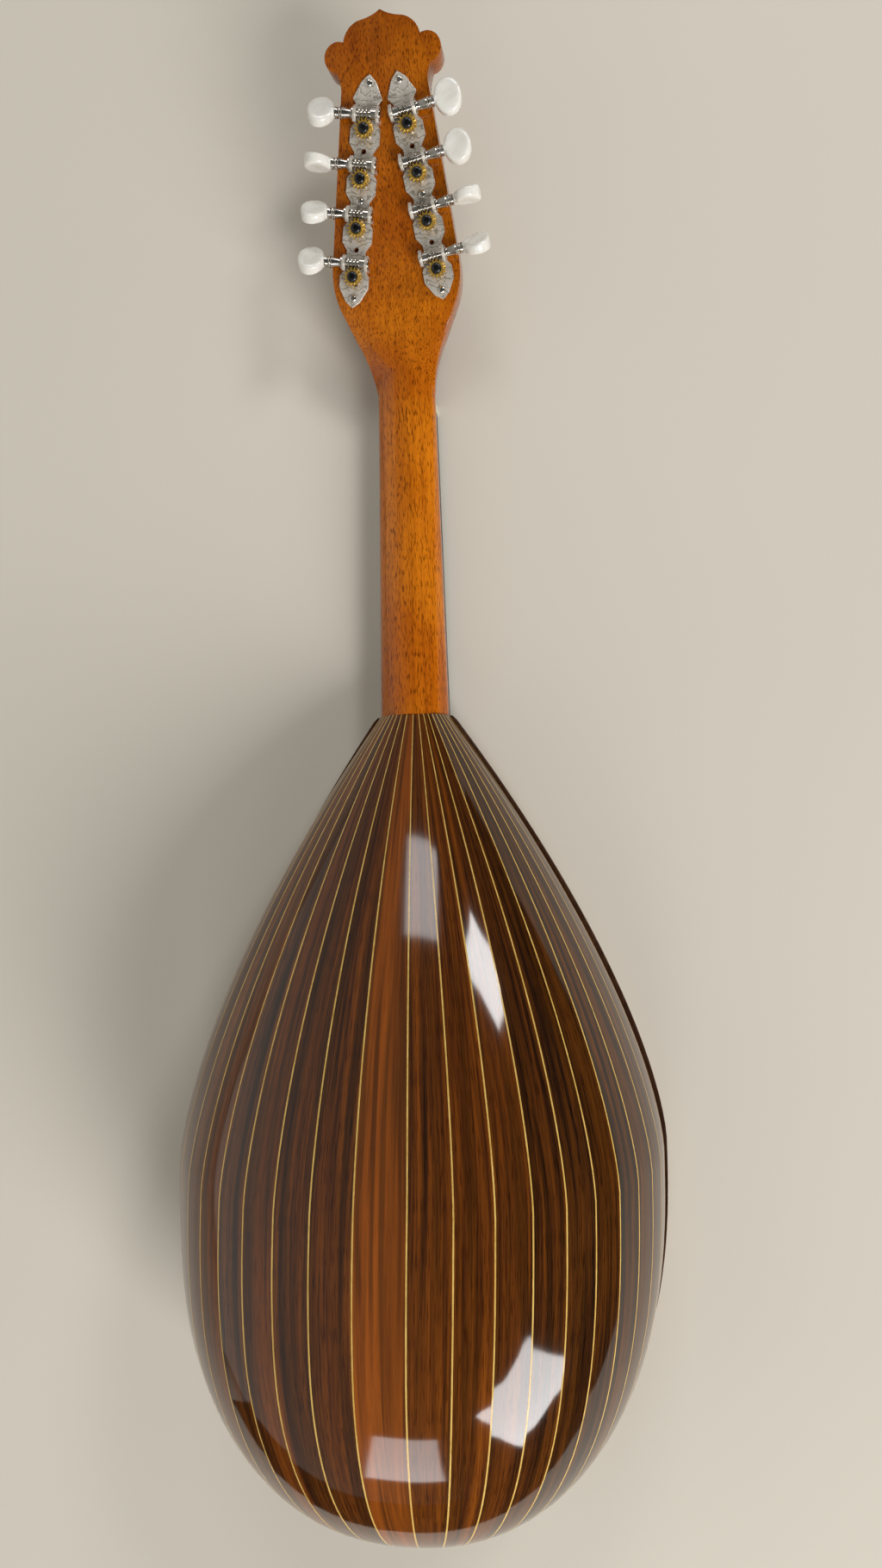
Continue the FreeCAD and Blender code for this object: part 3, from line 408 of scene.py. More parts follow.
def makeMetal(name, look):
    material, tree, shader, place = startMaterial(name)
    spots = addNoise(tree, place.outputs["Object"], look["spotScale"], 4.0, 0.6)
    color = addMix(tree, addRange(tree, spots, 0.45, 0.70), look["color"], look["tarnish"])
    tree.links.new(color, shader.inputs["Base Color"])
    shader.inputs["Metallic"].default_value = look.get("metallic", 1.0)
    gloss = addGloss(tree, shader, place.outputs["Object"], look["smears"], look["low"], look["high"])
    height = gloss.outputs["Height"]
    if "coil" in look:
        coil = addNode(tree, "ShaderNodeTexWave", {"Scale": look["coil"], "Distortion": 0.0},
                       wave_type="BANDS", bands_direction="Y")
        tree.links.new(place.outputs["Object"], coil.inputs["Vector"])
        height = coil.outputs["Fac"]
    addBump(tree, shader, height, look["bump"], look.get("bumpDistance", 0.0001))
    return material


nickelMetal = makeMetal("nickelPlate", {
    "color": (0.66, 0.63, 0.58), "tarnish": (0.46, 0.42, 0.35), "spotScale": 240.0, "smears": 300.0,
    "low": 0.12, "high": 0.24, "bump": 0.06})
brassMetal = makeMetal("gearBrass", {
    "color": (0.62, 0.38, 0.06), "tarnish": (0.36, 0.21, 0.03), "spotScale": 500.0, "smears": 400.0,
    "low": 0.24, "high": 0.42, "bump": 0.10, "metallic": 0.6})
postMetal = makeMetal("postSteel", {
    "color": (0.58, 0.56, 0.52), "tarnish": (0.36, 0.34, 0.30), "spotScale": 300.0, "smears": 300.0,
    "low": 0.18, "high": 0.34, "bump": 0.10})
fretMetal = makeMetal("fretNickel", {
    "color": (0.62, 0.60, 0.55), "tarnish": (0.42, 0.40, 0.34), "spotScale": 200.0, "smears": 250.0,
    "low": 0.2, "high": 0.35, "bump": 0.05})
stringMetal = makeMetal("plainStringSteel", {
    "color": (0.60, 0.58, 0.54), "tarnish": (0.45, 0.41, 0.34), "spotScale": 120.0, "smears": 250.0,
    "low": 0.2, "high": 0.35, "bump": 0.05})
woundMetal = makeMetal("woundStringSteel", {
    "color": (0.58, 0.50, 0.38), "tarnish": (0.38, 0.30, 0.20), "spotScale": 120.0, "smears": 250.0,
    "low": 0.25, "high": 0.4, "bump": 0.8, "coil": 420.0, "bumpDistance": 0.0001})
blackScrewMetal = makeMetal("blackScrew", {
    "color": (0.010, 0.010, 0.012), "tarnish": (0.030, 0.028, 0.028), "spotScale": 300.0, "smears": 300.0,
    "low": 0.18, "high": 0.32, "bump": 0.05, "metallic": 0.4})


def makePlateMetal():
    look = {"color": (0.66, 0.61, 0.54), "line": (0.30, 0.26, 0.20), "tarnish": (0.52, 0.47, 0.39)}
    material, tree, shader, place = startMaterial("engravedPlate")
    apart = addNode(tree, "ShaderNodeSeparateXYZ")
    tree.links.new(place.outputs["Object"], apart.inputs[0])
    sideways = addMath(tree, "ABSOLUTE", apart.outputs["X"], 0.0)
    together = addNode(tree, "ShaderNodeCombineXYZ")
    tree.links.new(sideways, together.inputs["X"])
    tree.links.new(apart.outputs["Y"], together.inputs["Y"])
    waves = {"Scale": 95.0, "Distortion": 9.0, "Detail": 1.0, "Detail Scale": 3.0}
    scrolls = addNode(tree, "ShaderNodeTexWave", waves, wave_type="RINGS")
    tree.links.new(together.outputs[0], scrolls.inputs["Vector"])
    engraved = addRange(tree, scrolls.outputs["Fac"], 0.80, 0.93)
    spots = addNoise(tree, place.outputs["Object"], 350.0, 4.0, 0.6)
    worn = addMix(tree, addRange(tree, spots, 0.45, 0.70), look["color"], look["tarnish"])
    tree.links.new(addMix(tree, addMath(tree, "MULTIPLY", engraved, 0.8), worn, look["line"]),
                   shader.inputs["Base Color"])
    shader.inputs["Metallic"].default_value = 0.4
    addGloss(tree, shader, place.outputs["Object"], 300.0, 0.24, 0.40)
    depth = addMath(tree, "SUBTRACT", addMath(tree, "MULTIPLY", spots, 0.3), engraved)
    addBump(tree, shader, depth, 0.35, 0.00015)
    return material


plateMetal = makePlateMetal()


def makePearl(name, look):
    material, tree, shader, place = startMaterial(name)
    clouds = addNoise(tree, place.outputs["Object"], look["cloudScale"], 3.0, 0.55, 1.5)
    color = addMix(tree, addRange(tree, clouds, 0.35, 0.65), look["light"], look["dark"])
    tree.links.new(color, shader.inputs["Base Color"])
    addGloss(tree, shader, place.outputs["Object"], 120.0, look["low"], look["high"])
    addBump(tree, shader, clouds, 0.03, 0.0002)
    shader.inputs["Coat Weight"].default_value = look["coat"]
    shader.inputs["Coat Roughness"].default_value = 0.08
    shader.inputs["Subsurface Weight"].default_value = look.get("depth", 0.0)
    shader.inputs["Subsurface Scale"].default_value = 0.002
    return material


buttonPearl = makePearl("pearlButton", {
    "cloudScale": 90.0, "light": (0.84, 0.82, 0.76), "dark": (0.74, 0.71, 0.64), "low": 0.22, "high": 0.34,
    "coat": 0.6, "depth": 0.04})
boneWhite = makePearl("boneWhite", {
    "cloudScale": 60.0, "light": (0.78, 0.72, 0.58), "dark": (0.68, 0.60, 0.44), "low": 0.35, "high": 0.5,
    "coat": 0.1, "depth": 0.1})


def makeShellPlate():
    material, tree, shader, place = startMaterial("mottledShell")
    blots = addNoise(tree, place.outputs["Object"], 55.0, 3.0, 0.6, 1.8)
    color = addMix(tree, addRange(tree, blots, 0.44, 0.58), (0.030, 0.010, 0.006), (0.24, 0.070, 0.015))
    tree.links.new(color, shader.inputs["Base Color"])
    addGloss(tree, shader, place.outputs["Object"], 60.0, 0.12, 0.26)
    addBump(tree, shader, blots, 0.02, 0.0002)
    shader.inputs["Coat Weight"].default_value = 0.6
    return material


def makeRosetteInlay(centre, halfX, halfY):
    material, tree, shader, place = startMaterial("rosetteInlay")
    apart = addMapping(tree, place.outputs["Object"], (1.0 / halfX, 1.0 / halfY, 0.0),
                       shift=(-centre.x / halfX, -centre.y / halfY, 0.0))
    length = addNode(tree, "ShaderNodeVectorMath", operation="LENGTH")
    tree.links.new(apart, length.inputs[0])
    rings = addMath(tree, "SINE", addMath(tree, "MULTIPLY", length.outputs["Value"], 190.0), 0.0)
    checks = addNode(tree, "ShaderNodeTexChecker", {"Scale": 420.0})
    tree.links.new(place.outputs["Object"], checks.inputs["Vector"])
    ground = addMix(tree, checks.outputs["Fac"], (0.050, 0.022, 0.012), (0.45, 0.26, 0.08))
    color = addMix(tree, addRange(tree, rings, 0.1, 0.4), ground, (0.020, 0.012, 0.008))
    tree.links.new(color, shader.inputs["Base Color"])
    addGloss(tree, shader, place.outputs["Object"], 60.0, 0.2, 0.35)
    addBump(tree, shader, rings, 0.05, 0.0001)
    shader.inputs["Coat Weight"].default_value = 0.5
    return material


shellPlate = makeShellPlate()
print("finishes made:", len(bpy.data.materials))


# the drawing's own frame: nut at Y 0, face at Z 0, in millimetres, then set on its rest plane

restPlane = {"nutCrown": 6.9, "saddleCrown": 11.5, "scaleLength": 344.0, "planMiddle": -173.5307}


def drawingMatrix():
    tip = math.atan((restPlane["saddleCrown"] - restPlane["nutCrown"]) / restPlane["scaleLength"])
    lift = Matrix.Translation((0.0, 0.0, restPlane["nutCrown"]))
    return (Matrix.Scale(mm, 4) @ Matrix.Translation((0.0, -restPlane["planMiddle"], 0.0))
            @ Matrix.Rotation(-tip, 4, "X") @ lift)


fromDrawing = drawingMatrix()

bowlShape = {"jointY": -150.93, "widestY": -348.5, "deepestY": -405.0, "tailY": -510.0,
             "tailOpening": 0.9933, "rowSpread": 1.15, "startWidth": 17.0, "halfWidth": 110.5,
             "widthRise": 1.49, "widthPower": 2.6, "widthRoot": 2.16,
             "startDepth": 17.0, "depth": 120.0, "depthRise": 1.745, "depthPower": 1.873, "depthRoot": 2.543,
             "sectionPower": 0.872, "boardThickness": 2.4, "cant": 3.5, "ribPairs": 11, "centreAngle": 3.77,
             "ribAngle": 7.949, "frontRows": 40, "tailRows": 34, "ribColumns": 4, "flatness": 0.2,
             "ribThickness": 1.8, "ribEdge": 0.06, "grainWidth": 14.0, "grainShift": 0.137,
             "lineWidth": 0.62, "lineNarrow": 0.45, "lineGirth": 1.4, "lineThickness": 0.8,
             "lineRise": 0.02, "probe": 0.2}


def swell(y, start, peak, peakY, rise, power, root):
    if y > peakY:
        share = (bowlShape["jointY"] - y) / (bowlShape["jointY"] - peakY)
        return start + (peak - start) * (1.0 - (1.0 - min(max(share, 0.0), 1.0)) ** rise)
    share = (peakY - y) / (peakY - bowlShape["tailY"])
    return peak * (1.0 - min(share, 1.0) ** power) ** (1.0 / root)


def halfWidth(y):
    return swell(y, bowlShape["startWidth"], bowlShape["halfWidth"], bowlShape["widestY"],
                 bowlShape["widthRise"], bowlShape["widthPower"], bowlShape["widthRoot"])


def bowlDepth(y):
    return swell(y, bowlShape["startDepth"], bowlShape["depth"], bowlShape["deepestY"],
                 bowlShape["depthRise"], bowlShape["depthPower"], bowlShape["depthRoot"])


def cantHeight(y):
    return max(0.0, bowlShape["widestY"] - y) * math.tan(math.radians(bowlShape["cant"]))


def rimAngle(y):
    height = (bowlShape["boardThickness"] + cantHeight(y)) / bowlDepth(y)
    return math.degrees(math.asin(height ** (1.0 / bowlShape["sectionPower"])))


def bowlPoint(angle, y):
    cosine, sine = math.cos(math.radians(angle)), math.sin(math.radians(angle))
    across = math.copysign(abs(cosine) ** bowlShape["sectionPower"], cosine)
    return Vector((halfWidth(y) * across, y, bowlDepth(y) * sine ** bowlShape["sectionPower"]))


def seamAngle(number, y):
    span = 90.0 - rimAngle(y)
    rank = abs(number)
    share = (bowlShape["centreAngle"] + (rank - 1) * bowlShape["ribAngle"]) / 90.0
    share = 1.0 if rank > bowlShape["ribPairs"] else share
    return 90.0 - math.copysign(span * share, number)


def bowlRows():
    shape = bowlShape
    count = shape["frontRows"]
    front = [shape["jointY"] + (shape["widestY"] - shape["jointY"]) * (i / count) ** shape["rowSpread"]
             for i in range(count)]
    last = math.asin(shape["tailOpening"])
    tail = [shape["widestY"] + (shape["tailY"] - shape["widestY"]) * math.sin(last * i / shape["tailRows"])
            for i in range(shape["tailRows"] + 1)]
    return front + tail


rows = bowlRows()


def addStrip(name, columns):
    bpy.ops.object.select_all(action="DESELECT")
    bpy.ops.mesh.primitive_grid_add(x_subdivisions=columns, y_subdivisions=len(rows) - 1, size=1.0)
    strip = newPiece(name)
    spots = []
    for vertex in strip.data.vertices:
        spots.append((round((vertex.co.x + 0.5) * columns), round((vertex.co.y + 0.5) * (len(rows) - 1))))
    return strip, spots


def layStrip(strip, spots, columns, pointAt):
    lengths = [0.0]
    for one, two in zip(range(len(rows) - 1), range(1, len(rows))):
        lengths.append(lengths[-1] + (pointAt(0.5, one) - pointAt(0.5, two)).length)
    for vertex, (column, row) in zip(strip.data.vertices, spots):
        vertex.co = pointAt(column / columns, row)
    strip.data.update()
    middle = strip.data.polygons[len(strip.data.polygons) // 2]
    outward = middle.center - Vector((0.0, bowlShape["deepestY"], 0.0))
    if middle.normal.dot(outward) < 0.0:
        strip.data.flip_normals()
    return lengths


def writeStripPattern(strip, spots, columns, lengths, width, shift, tone):
    layer = strip.data.uv_layers[0]
    layer.name = "grainMap"
    for loop in strip.data.loops:
        column, row = spots[loop.vertex_index]
        layer.data[loop.index].uv = (shift + width * column / columns * mm, lengths[row] * mm)
    values = strip.data.attributes.new("ribShadeAndTone", "FLOAT", "POINT")
    values.data.foreach_set("value", [tone] * len(strip.data.vertices))


# Tone of each rib from left to right, between dark and red rosewood; the low tones of the right-hand ribs
# are partly the wood's own dark colour and partly painted shade that darkens that side of the bowl.
ribShadesAndTones = {"order": (0.25, 0.30, 0.25, 0.35, 0.25, 0.30, 0.40, 0.16, 0.43, 0.32, 0.30, 1.0,
                      0.35, 0.34, 0.33, 0.13, 0.0, 0.0, 0.02, 0.05, 0.10, 0.10, 0.10)}


def makeRibs():
    pairs = bowlShape["ribPairs"]
    seams = [-n for n in range(pairs + 1, 0, -1)] + list(range(1, pairs + 2))
    columns = bowlShape["ribColumns"]
    strips = []
    for index, (first, second) in enumerate(zip(seams, seams[1:])):
        strip, spots = addStrip("rib", columns)

        def pointAt(share, row):
            y = rows[row]
            low, high = seamAngle(first, y), seamAngle(second, y)
            one, two = bowlPoint(low, y), bowlPoint(high, y)
            onArc = bowlPoint(low + (high - low) * share, y)
            onChord = one.lerp(two, share)
            return onArc.lerp(onChord, bowlShape["flatness"])

        lengths = layStrip(strip, spots, columns, pointAt)
        writeStripPattern(strip, spots, columns, lengths, bowlShape["grainWidth"],
                          bowlShape["grainShift"] * index, ribShadesAndTones["order"][index])
        strips.append(strip)
    ribs = joinPieces(strips, "bowlRibs")
    applyModifier(ribs, "SOLIDIFY", thickness=bowlShape["ribThickness"], offset=-1.0)
    roundEdges(ribs, bowlShape["ribEdge"], 1, 50.0)
    placeAtOrigin(ribs, fromDrawing)
    smoothByAngle(ribs, 30.0)
    return finishPiece(ribs, [ribWood], fixedBody, "rosewood", ["bowl_ribs"])


def makeBowlLines():
    pairs = bowlShape["ribPairs"]
    strips = []
    for number in [-n for n in range(pairs, 0, -1)] + list(range(1, pairs + 1)):
        strip, spots = addStrip("line", 2)

        def pointAt(share, row):
            y = rows[row]
            angle = seamAngle(number, y)
            point = bowlPoint(angle, y)
            probe = bowlShape["probe"]
            beside = bowlPoint(angle - probe, y) - bowlPoint(angle + probe, y)
            ahead = bowlPoint(angle, y + probe) - bowlPoint(angle, y - probe)
            outward = beside.cross(ahead).normalized()
            if outward.dot(point - Vector((0.0, y, 0.0))) < 0.0:
                outward = -outward
            girth = min(1.0, halfWidth(y) / bowlShape["halfWidth"] * bowlShape["lineGirth"])
            narrow = bowlShape["lineNarrow"]
            width = bowlShape["lineWidth"] * (narrow + (1.0 - narrow) * girth)
            return point + beside.normalized() * width * (share - 0.5) + outward * bowlShape["lineRise"]

        layStrip(strip, spots, 2, pointAt)
        strips.append(strip)
    lines = joinPieces(strips, "bowlLines")
    applyModifier(lines, "SOLIDIFY", thickness=bowlShape["lineThickness"], offset=-1.0)
    placeAtOrigin(lines, fromDrawing)
    smoothByAngle(lines, 30.0)
    return finishPiece(lines, [lineWood], fixedBody, "lining_wood", [])


makeRibs()
makeBowlLines()
print("bowl made")


# the face: soundboard, its rim, rosette and scratchplate

faceShape = {"bindingWidth": 1.5, "bindingHeight": 3.6, "bindingEdge": 0.2, "holeY": -246.1423,
             "holeHalfX": 33.0, "holeHalfY": 26.0, "holeSides": 96, "cutLow": -4.0, "cutHigh": 8.0,
             "boardEdge": 0.15, "rosetteWidth": 5.0, "rosetteDepth": 0.8, "rosetteEdge": 0.12,
             "rosetteGap": 0.02, "scratchHalfX": 36.0, "scratchGap": 1.0, "scratchThickness": 0.6,
             "scratchSides": 48, "scratchWave": 0.12, "scratchEdge": 0.2, "capDepth": 1.6, "step": 0.05}


def rimOutline(extra):
    right = []
    for y in rows:
        point = bowlPoint(rimAngle(y), y)
        aheadY, behindY = min(y + faceShape["step"], bowlShape["jointY"]), y - faceShape["step"]
        ahead, behind = bowlPoint(rimAngle(aheadY), aheadY), bowlPoint(rimAngle(behindY), behindY)
        along = Vector((ahead.x - behind.x, ahead.y - behind.y, 0.0)).normalized()
        right.append(Vector((point.x + along.y * extra, point.y - along.x * extra, 0.0)))
    right[0] = Vector((right[0].x, bowlShape["jointY"], 0.0))
    return right + [Vector((-p.x, p.y, 0.0)) for p in reversed(right)]


def addEllipse(grow, low, high):
    bpy.ops.object.select_all(action="DESELECT")
    bpy.ops.mesh.primitive_cylinder_add(vertices=faceShape["holeSides"], radius=1.0, depth=high - low,
                                        location=(0.0, faceShape["holeY"], 0.5 * (low + high)))
    bpy.ops.object.transform_apply(location=True, rotation=True, scale=True)
    ellipse = newPiece("ellipse")
    startEdit(ellipse)
    bpy.ops.transform.resize(value=(faceShape["holeHalfX"] + grow, faceShape["holeHalfY"] + grow, 1.0),
                             center_override=(0.0, faceShape["holeY"], 0.0))
    endEdit()
    return ellipse


def makeSoundboard():
    outline = rimOutline(0.0)
    bpy.ops.object.select_all(action="DESELECT")
    bpy.ops.mesh.primitive_circle_add(vertices=len(outline), radius=1.0, fill_type="NGON")
    board = newPiece("soundboardFace")
    for vertex, point in zip(board.data.vertices, outline):
        vertex.co = point
    board.data.update()
    startEdit(board)
    bpy.ops.mesh.bisect(plane_co=(0.0, bowlShape["widestY"], 0.0), plane_no=(0.0, 1.0, 0.0))
    endEdit()
    for vertex in board.data.vertices:
        vertex.co.z = cantHeight(vertex.co.y)
    board.data.update()
    if board.data.polygons[0].normal.z > 0.0:
        board.data.flip_normals()
    applyModifier(board, "SOLIDIFY", thickness=bowlShape["boardThickness"], offset=-1.0)
    cutWith(board, addEllipse(0.0, faceShape["cutLow"], faceShape["cutHigh"]))
    cutWith(board, addEllipse(faceShape["rosetteWidth"], faceShape["cutLow"], faceShape["rosetteDepth"]))
    roundEdges(board, faceShape["boardEdge"], 2, 40.0)
    placeAtOrigin(board, fromDrawing)
    smoothByAngle(board, 25.0)
    return finishPiece(board, [boardSpruce], fixedBody, "spruce", ["soundboard"])


def makeRosette():
    gap = faceShape["rosetteGap"]
    ring = addEllipse(faceShape["rosetteWidth"] - gap, -gap, faceShape["rosetteDepth"] - gap)
    ring.name = "rosetteRing"
    cutWith(ring, addEllipse(0.0, faceShape["cutLow"], faceShape["cutHigh"]))
    roundEdges(ring, faceShape["rosetteEdge"], 2, 40.0)
    placeAtOrigin(ring, fromDrawing)
    smoothByAngle(ring, 25.0)
    centre = fromDrawing @ Vector((0.0, faceShape["holeY"], 0.0))
    inlay = makeRosetteInlay(centre, faceShape["holeHalfX"] * mm, faceShape["holeHalfY"] * mm)
    return finishPiece(ring, [inlay], fixedBody, "rosette_inlay", ["soundhole_rosette"])


def makeBinding():
    inner, outer = rimOutline(0.0), rimOutline(faceShape["bindingWidth"])
    bpy.ops.object.select_all(action="DESELECT")
    bpy.ops.mesh.primitive_circle_add(vertices=len(inner), radius=1.0, fill_type="NOTHING")
    band = newPiece("rimBinding")
    for vertex, point in zip(band.data.vertices, inner):
        vertex.co = point + Vector((0.0, 0.0, cantHeight(point.y)))
    band.data.update()
    count = len(inner)
    heights = ((outer, 0.0), (outer, faceShape["bindingHeight"]), (inner, bowlShape["boardThickness"]))
    for path, rise in heights:
        startEdit(band)
        bpy.ops.mesh.select_all(action="DESELECT")
        endEdit()
        start = len(band.data.vertices) - count
        for vertex in band.data.vertices[start:]:
            vertex.select = True
        for edge in band.data.edges:
            edge.select = edge.vertices[0] >= start and edge.vertices[1] >= start
        selectOnly(band)
        bpy.ops.object.mode_set(mode="EDIT")
        bpy.ops.mesh.extrude_edges_move()
        endEdit()
        for vertex, point in zip(list(band.data.vertices)[-count:], path):
            vertex.co = point + Vector((0.0, 0.0, cantHeight(point.y) + rise))
        band.data.update()
    startEdit(band)
    bpy.ops.mesh.select_all(action="DESELECT")
    endEdit()
    total = len(band.data.vertices)
    for edge in band.data.edges:
        both = [vertex < count or vertex >= total - count for vertex in edge.vertices]
        near = abs(edge.vertices[0] - edge.vertices[1])
        edge.select = all(both) and (near == 1 or near == count - 1) and (
            (edge.vertices[0] < count) == (edge.vertices[1] < count))
    selectOnly(band)
    bpy.ops.object.mode_set(mode="EDIT")
    bpy.ops.mesh.bridge_edge_loops()
    endEdit()
    faceOutwards(band)
    roundEdges(band, faceShape["bindingEdge"], 2, 40.0)
    placeAtOrigin(band, fromDrawing)
    smoothByAngle(band, 30.0)
    return finishPiece(band, [rimWood], fixedBody, "binding_wood", ["edge_binding"])


def makeScratchplate():
    top = faceShape["holeY"] - faceShape["holeHalfY"] - faceShape["rosetteWidth"] - faceShape["scratchGap"]
    drop = 0.5 * (faceShape["holeY"] - faceShape["holeHalfY"] + restPlane["scaleLength"])
    sides = faceShape["scratchSides"]
    bpy.ops.object.select_all(action="DESELECT")
    bpy.ops.mesh.primitive_circle_add(vertices=sides + 1, radius=1.0, fill_type="NGON")
    plate = newPiece("scratchplateShield")
    for index, vertex in enumerate(plate.data.vertices):
        turn = math.radians(180.0 + 180.0 * index / sides)
        bulge = 1.0 + faceShape["scratchWave"] * math.cos(4.0 * turn)
        x = faceShape["scratchHalfX"] * bulge * math.cos(turn)
        vertex.co = (x, top + drop * bulge * math.sin(turn), 0.0)
    plate.data.update()
    if plate.data.polygons[0].normal.z > 0.0:
        plate.data.flip_normals()
    applyModifier(plate, "SOLIDIFY", thickness=faceShape["scratchThickness"], offset=1.0)
    faceOutwards(plate)
    roundEdges(plate, faceShape["scratchEdge"], 2, 40.0)
    placeAtOrigin(plate, fromDrawing)
    smoothByAngle(plate, 30.0)
    return finishPiece(plate, [shellPlate], fixedBody, "shell_plate", ["scratchplate"])


makeSoundboard()
makeRosette()
makeBinding()
makeScratchplate()
print("face made")


# neck, fittings of the face and what stays hidden inside

dressLooks = {
    "fretboard": {"name": "fretboardBlank", "width": 0.00035, "finish": ebonyWood, "slot": "ebony"},
    "frets": {"name": "fretWires", "width": 0.00035, "finish": fretMetal, "slot": "fret_metal"},
    "nut": {"name": "nutBone", "width": 0.00025, "finish": boneWhite, "slot": "bone"},
    "bridge": {"name": "bridgeFoot", "width": 0.0006, "finish": ebonyWood, "slot": "ebony"},
    "bridge_saddle": {"name": "saddleBone", "width": 0.0002, "finish": boneWhite, "slot": "bone"},
    "tailpiece": {"name": "tailpiecePlate", "width": 0.0003, "finish": nickelMetal, "slot": "nickel"},
}


def dressNode(node):
    look = dressLooks[node]
    piece = copyNode(node, look["name"])
    roundEdges(piece, look["width"], 2, 35.0)
    smoothByAngle(piece, 35.0)
    return finishPiece(piece, [look["finish"]], fixedBody, look["slot"], [node])


def makeTailBlock():
    piece = copyNode("tail_block", "tailCap")
    piece.data.materials.clear()
    piece.data.materials.append(innerWood)
    piece.data.materials.append(rimWood)
    edge = (fromDrawing @ Vector((0.0, bowlShape["tailY"] + faceShape["capDepth"], 0.0))).y
    for face in piece.data.polygons:
        face.material_index = 1 if face.center.y < edge else 0
    smoothByAngle(piece, 30.0)
    return finishPiece(piece, [], fixedBody, "lining_wood", ["tail_block"])


def finishHiddenWood():
    for node in ("neck_block", "rim_linings", "soundboard_bars"):
        cadPiece = frame["nodes"][node]
        cadPiece.data.materials.clear()
        cadPiece.data.materials.append(innerWood)


for nodeName in dressLooks:
    dressNode(nodeName)
makeTailBlock()
finishHiddenWood()
print("fittings dressed")


# tuning machines: each is drawn about its own post, X along the worm, Y to the crest, Z out of the back

tunerShape = {"centreY": 5.95, "wormZ": 4.0, "plateThickness": 1.0, "count": 4,
              "leftTurns": (35.0, 88.0, 50.0, 40.0), "rightTurns": (-8.0, -14.0, -84.0, -55.0)}
sides = (("left", -1, tunerShape["leftTurns"]), ("right", 1, tunerShape["rightTurns"]))


def tunerMatrix(label):
    origin = Vector(joints["post_" + label]["pos_m"])
    zAxis = Vector(joints["post_" + label]["axis"]).normalized()
    xAxis = Vector(joints["key_" + label]["axis"]).normalized()
    yAxis = zAxis.cross(xAxis)
    matrix = Matrix((xAxis, yAxis, zAxis)).transposed().to_4x4()
    matrix.translation = origin
    return matrix @ Matrix.Scale(mm, 4)


def wormMatrix(label, side, turn):
    flip = Matrix.Rotation(math.pi, 4, "Y") if side < 0 else Matrix.Identity(4)
    centre = Matrix.Translation((0.0, tunerShape["centreY"], tunerShape["wormZ"]))
    return tunerMatrix(label) @ centre @ flip @ Matrix.Rotation(math.radians(turn), 4, "X")


def turnOnLathe(name, profile, sideCount, turn=(0.0, math.pi / 2.0, 0.0)):
    bpy.ops.object.select_all(action="DESELECT")
    x, radius = profile[0]
    bpy.ops.mesh.primitive_circle_add(vertices=sideCount, radius=radius, fill_type="NGON", rotation=turn,
                                      location=(x, 0.0, 0.0))
    bpy.ops.object.transform_apply(location=True, rotation=True, scale=True)
    piece = newPiece(name)
    startEdit(piece)
    for nextX, nextRadius in profile[1:]:
        bpy.ops.mesh.extrude_region_move(TRANSFORM_OT_translate={"value": (nextX - x, 0.0, 0.0)})
        share = nextRadius / radius
        bpy.ops.transform.resize(value=(1.0, share, share), center_override=(nextX, 0.0, 0.0))
        x, radius = nextX, nextRadius
    bpy.ops.mesh.select_all(action="SELECT")
    bpy.ops.mesh.remove_doubles(threshold=0.0001)
    bpy.ops.mesh.normals_make_consistent(inside=False)
    endEdit()
    return piece


shaftLook = {"sides": 28, "profile": (
    (-7.3, 1.6), (-7.2, 2.2), (-6.9, 2.3), (-6.8, 2.3), (-6.8, 1.95), (-5.4, 1.95), (-5.4, 2.3),
    (-5.2, 2.45), (-2.9, 2.45), (-2.7, 2.3), (-2.7, 1.45), (3.6, 1.45), (3.6, 1.95), (5.1, 1.95),
    (5.1, 2.7), (5.25, 2.97),
    (5.85, 2.97), (6.0, 2.7), (6.05, 1.85), (6.4, 1.8), (7.4, 1.95), (9.0, 2.25), (10.3, 2.55), (10.5, 2.45),
    (10.55, 1.9), (10.8, 1.9), (10.85, 2.5), (11.05, 2.65), (11.35, 2.65), (11.55, 2.5), (11.6, 1.9),
    (11.85, 1.9), (11.95, 2.25), (12.4, 2.35), (12.45, 1.9), (12.65, 1.9), (12.7, 2.3), (13.4, 2.4),
    (13.7, 2.4), (14.0, 2.2), (14.1, 1.6), (19.0, 1.0), (19.5, 0.4))}

threadLook = {"lead": 1.6830, "turns": 2.7, "steps": 26, "rootRadius": 1.45, "topRadius": 2.6,
              "rootHalf": 0.50, "topHalf": 0.14}


def makeThread():
    bpy.ops.object.select_all(action="DESELECT")
    bpy.ops.mesh.primitive_circle_add(vertices=4, radius=1.0, fill_type="NOTHING")
    thread = newPiece("thread")
    look = threadLook
    startX = -0.5 * look["turns"] * look["lead"]
    root, top = look["rootRadius"], look["topRadius"]
    outline = ((startX - look["rootHalf"], root), (startX - look["topHalf"], top),
               (startX + look["topHalf"], top), (startX + look["rootHalf"], root))
    angle = math.radians(180.0) + 2.0 * math.pi * startX / look["lead"]
    for vertex, (x, radius) in zip(thread.data.vertices, outline):
        vertex.co = (x, radius * math.cos(angle), radius * math.sin(angle))
    thread.data.update()
    steps = int(look["steps"] * look["turns"])
    applyModifier(thread, "SCREW", axis="X", angle=2.0 * math.pi * look["turns"], steps=steps,
                  screw_offset=look["lead"] * look["turns"], render_steps=steps, use_merge_vertices=False)
    startEdit(thread)
    bpy.ops.mesh.select_all(action="DESELECT")
    bpy.ops.mesh.select_non_manifold()
    bpy.ops.mesh.edge_face_add()
    bpy.ops.mesh.select_all(action="SELECT")
    bpy.ops.mesh.normals_make_consistent(inside=False)
    endEdit()
    return thread


def makeShaftPattern():
    shaft = turnOnLathe("shaft", shaftLook["profile"], shaftLook["sides"])
    smoothByAngle(shaft, 32.0)
    thread = makeThread()
    smoothByAngle(thread, 40.0)
    return joinPieces([shaft, thread], "shaftPattern")


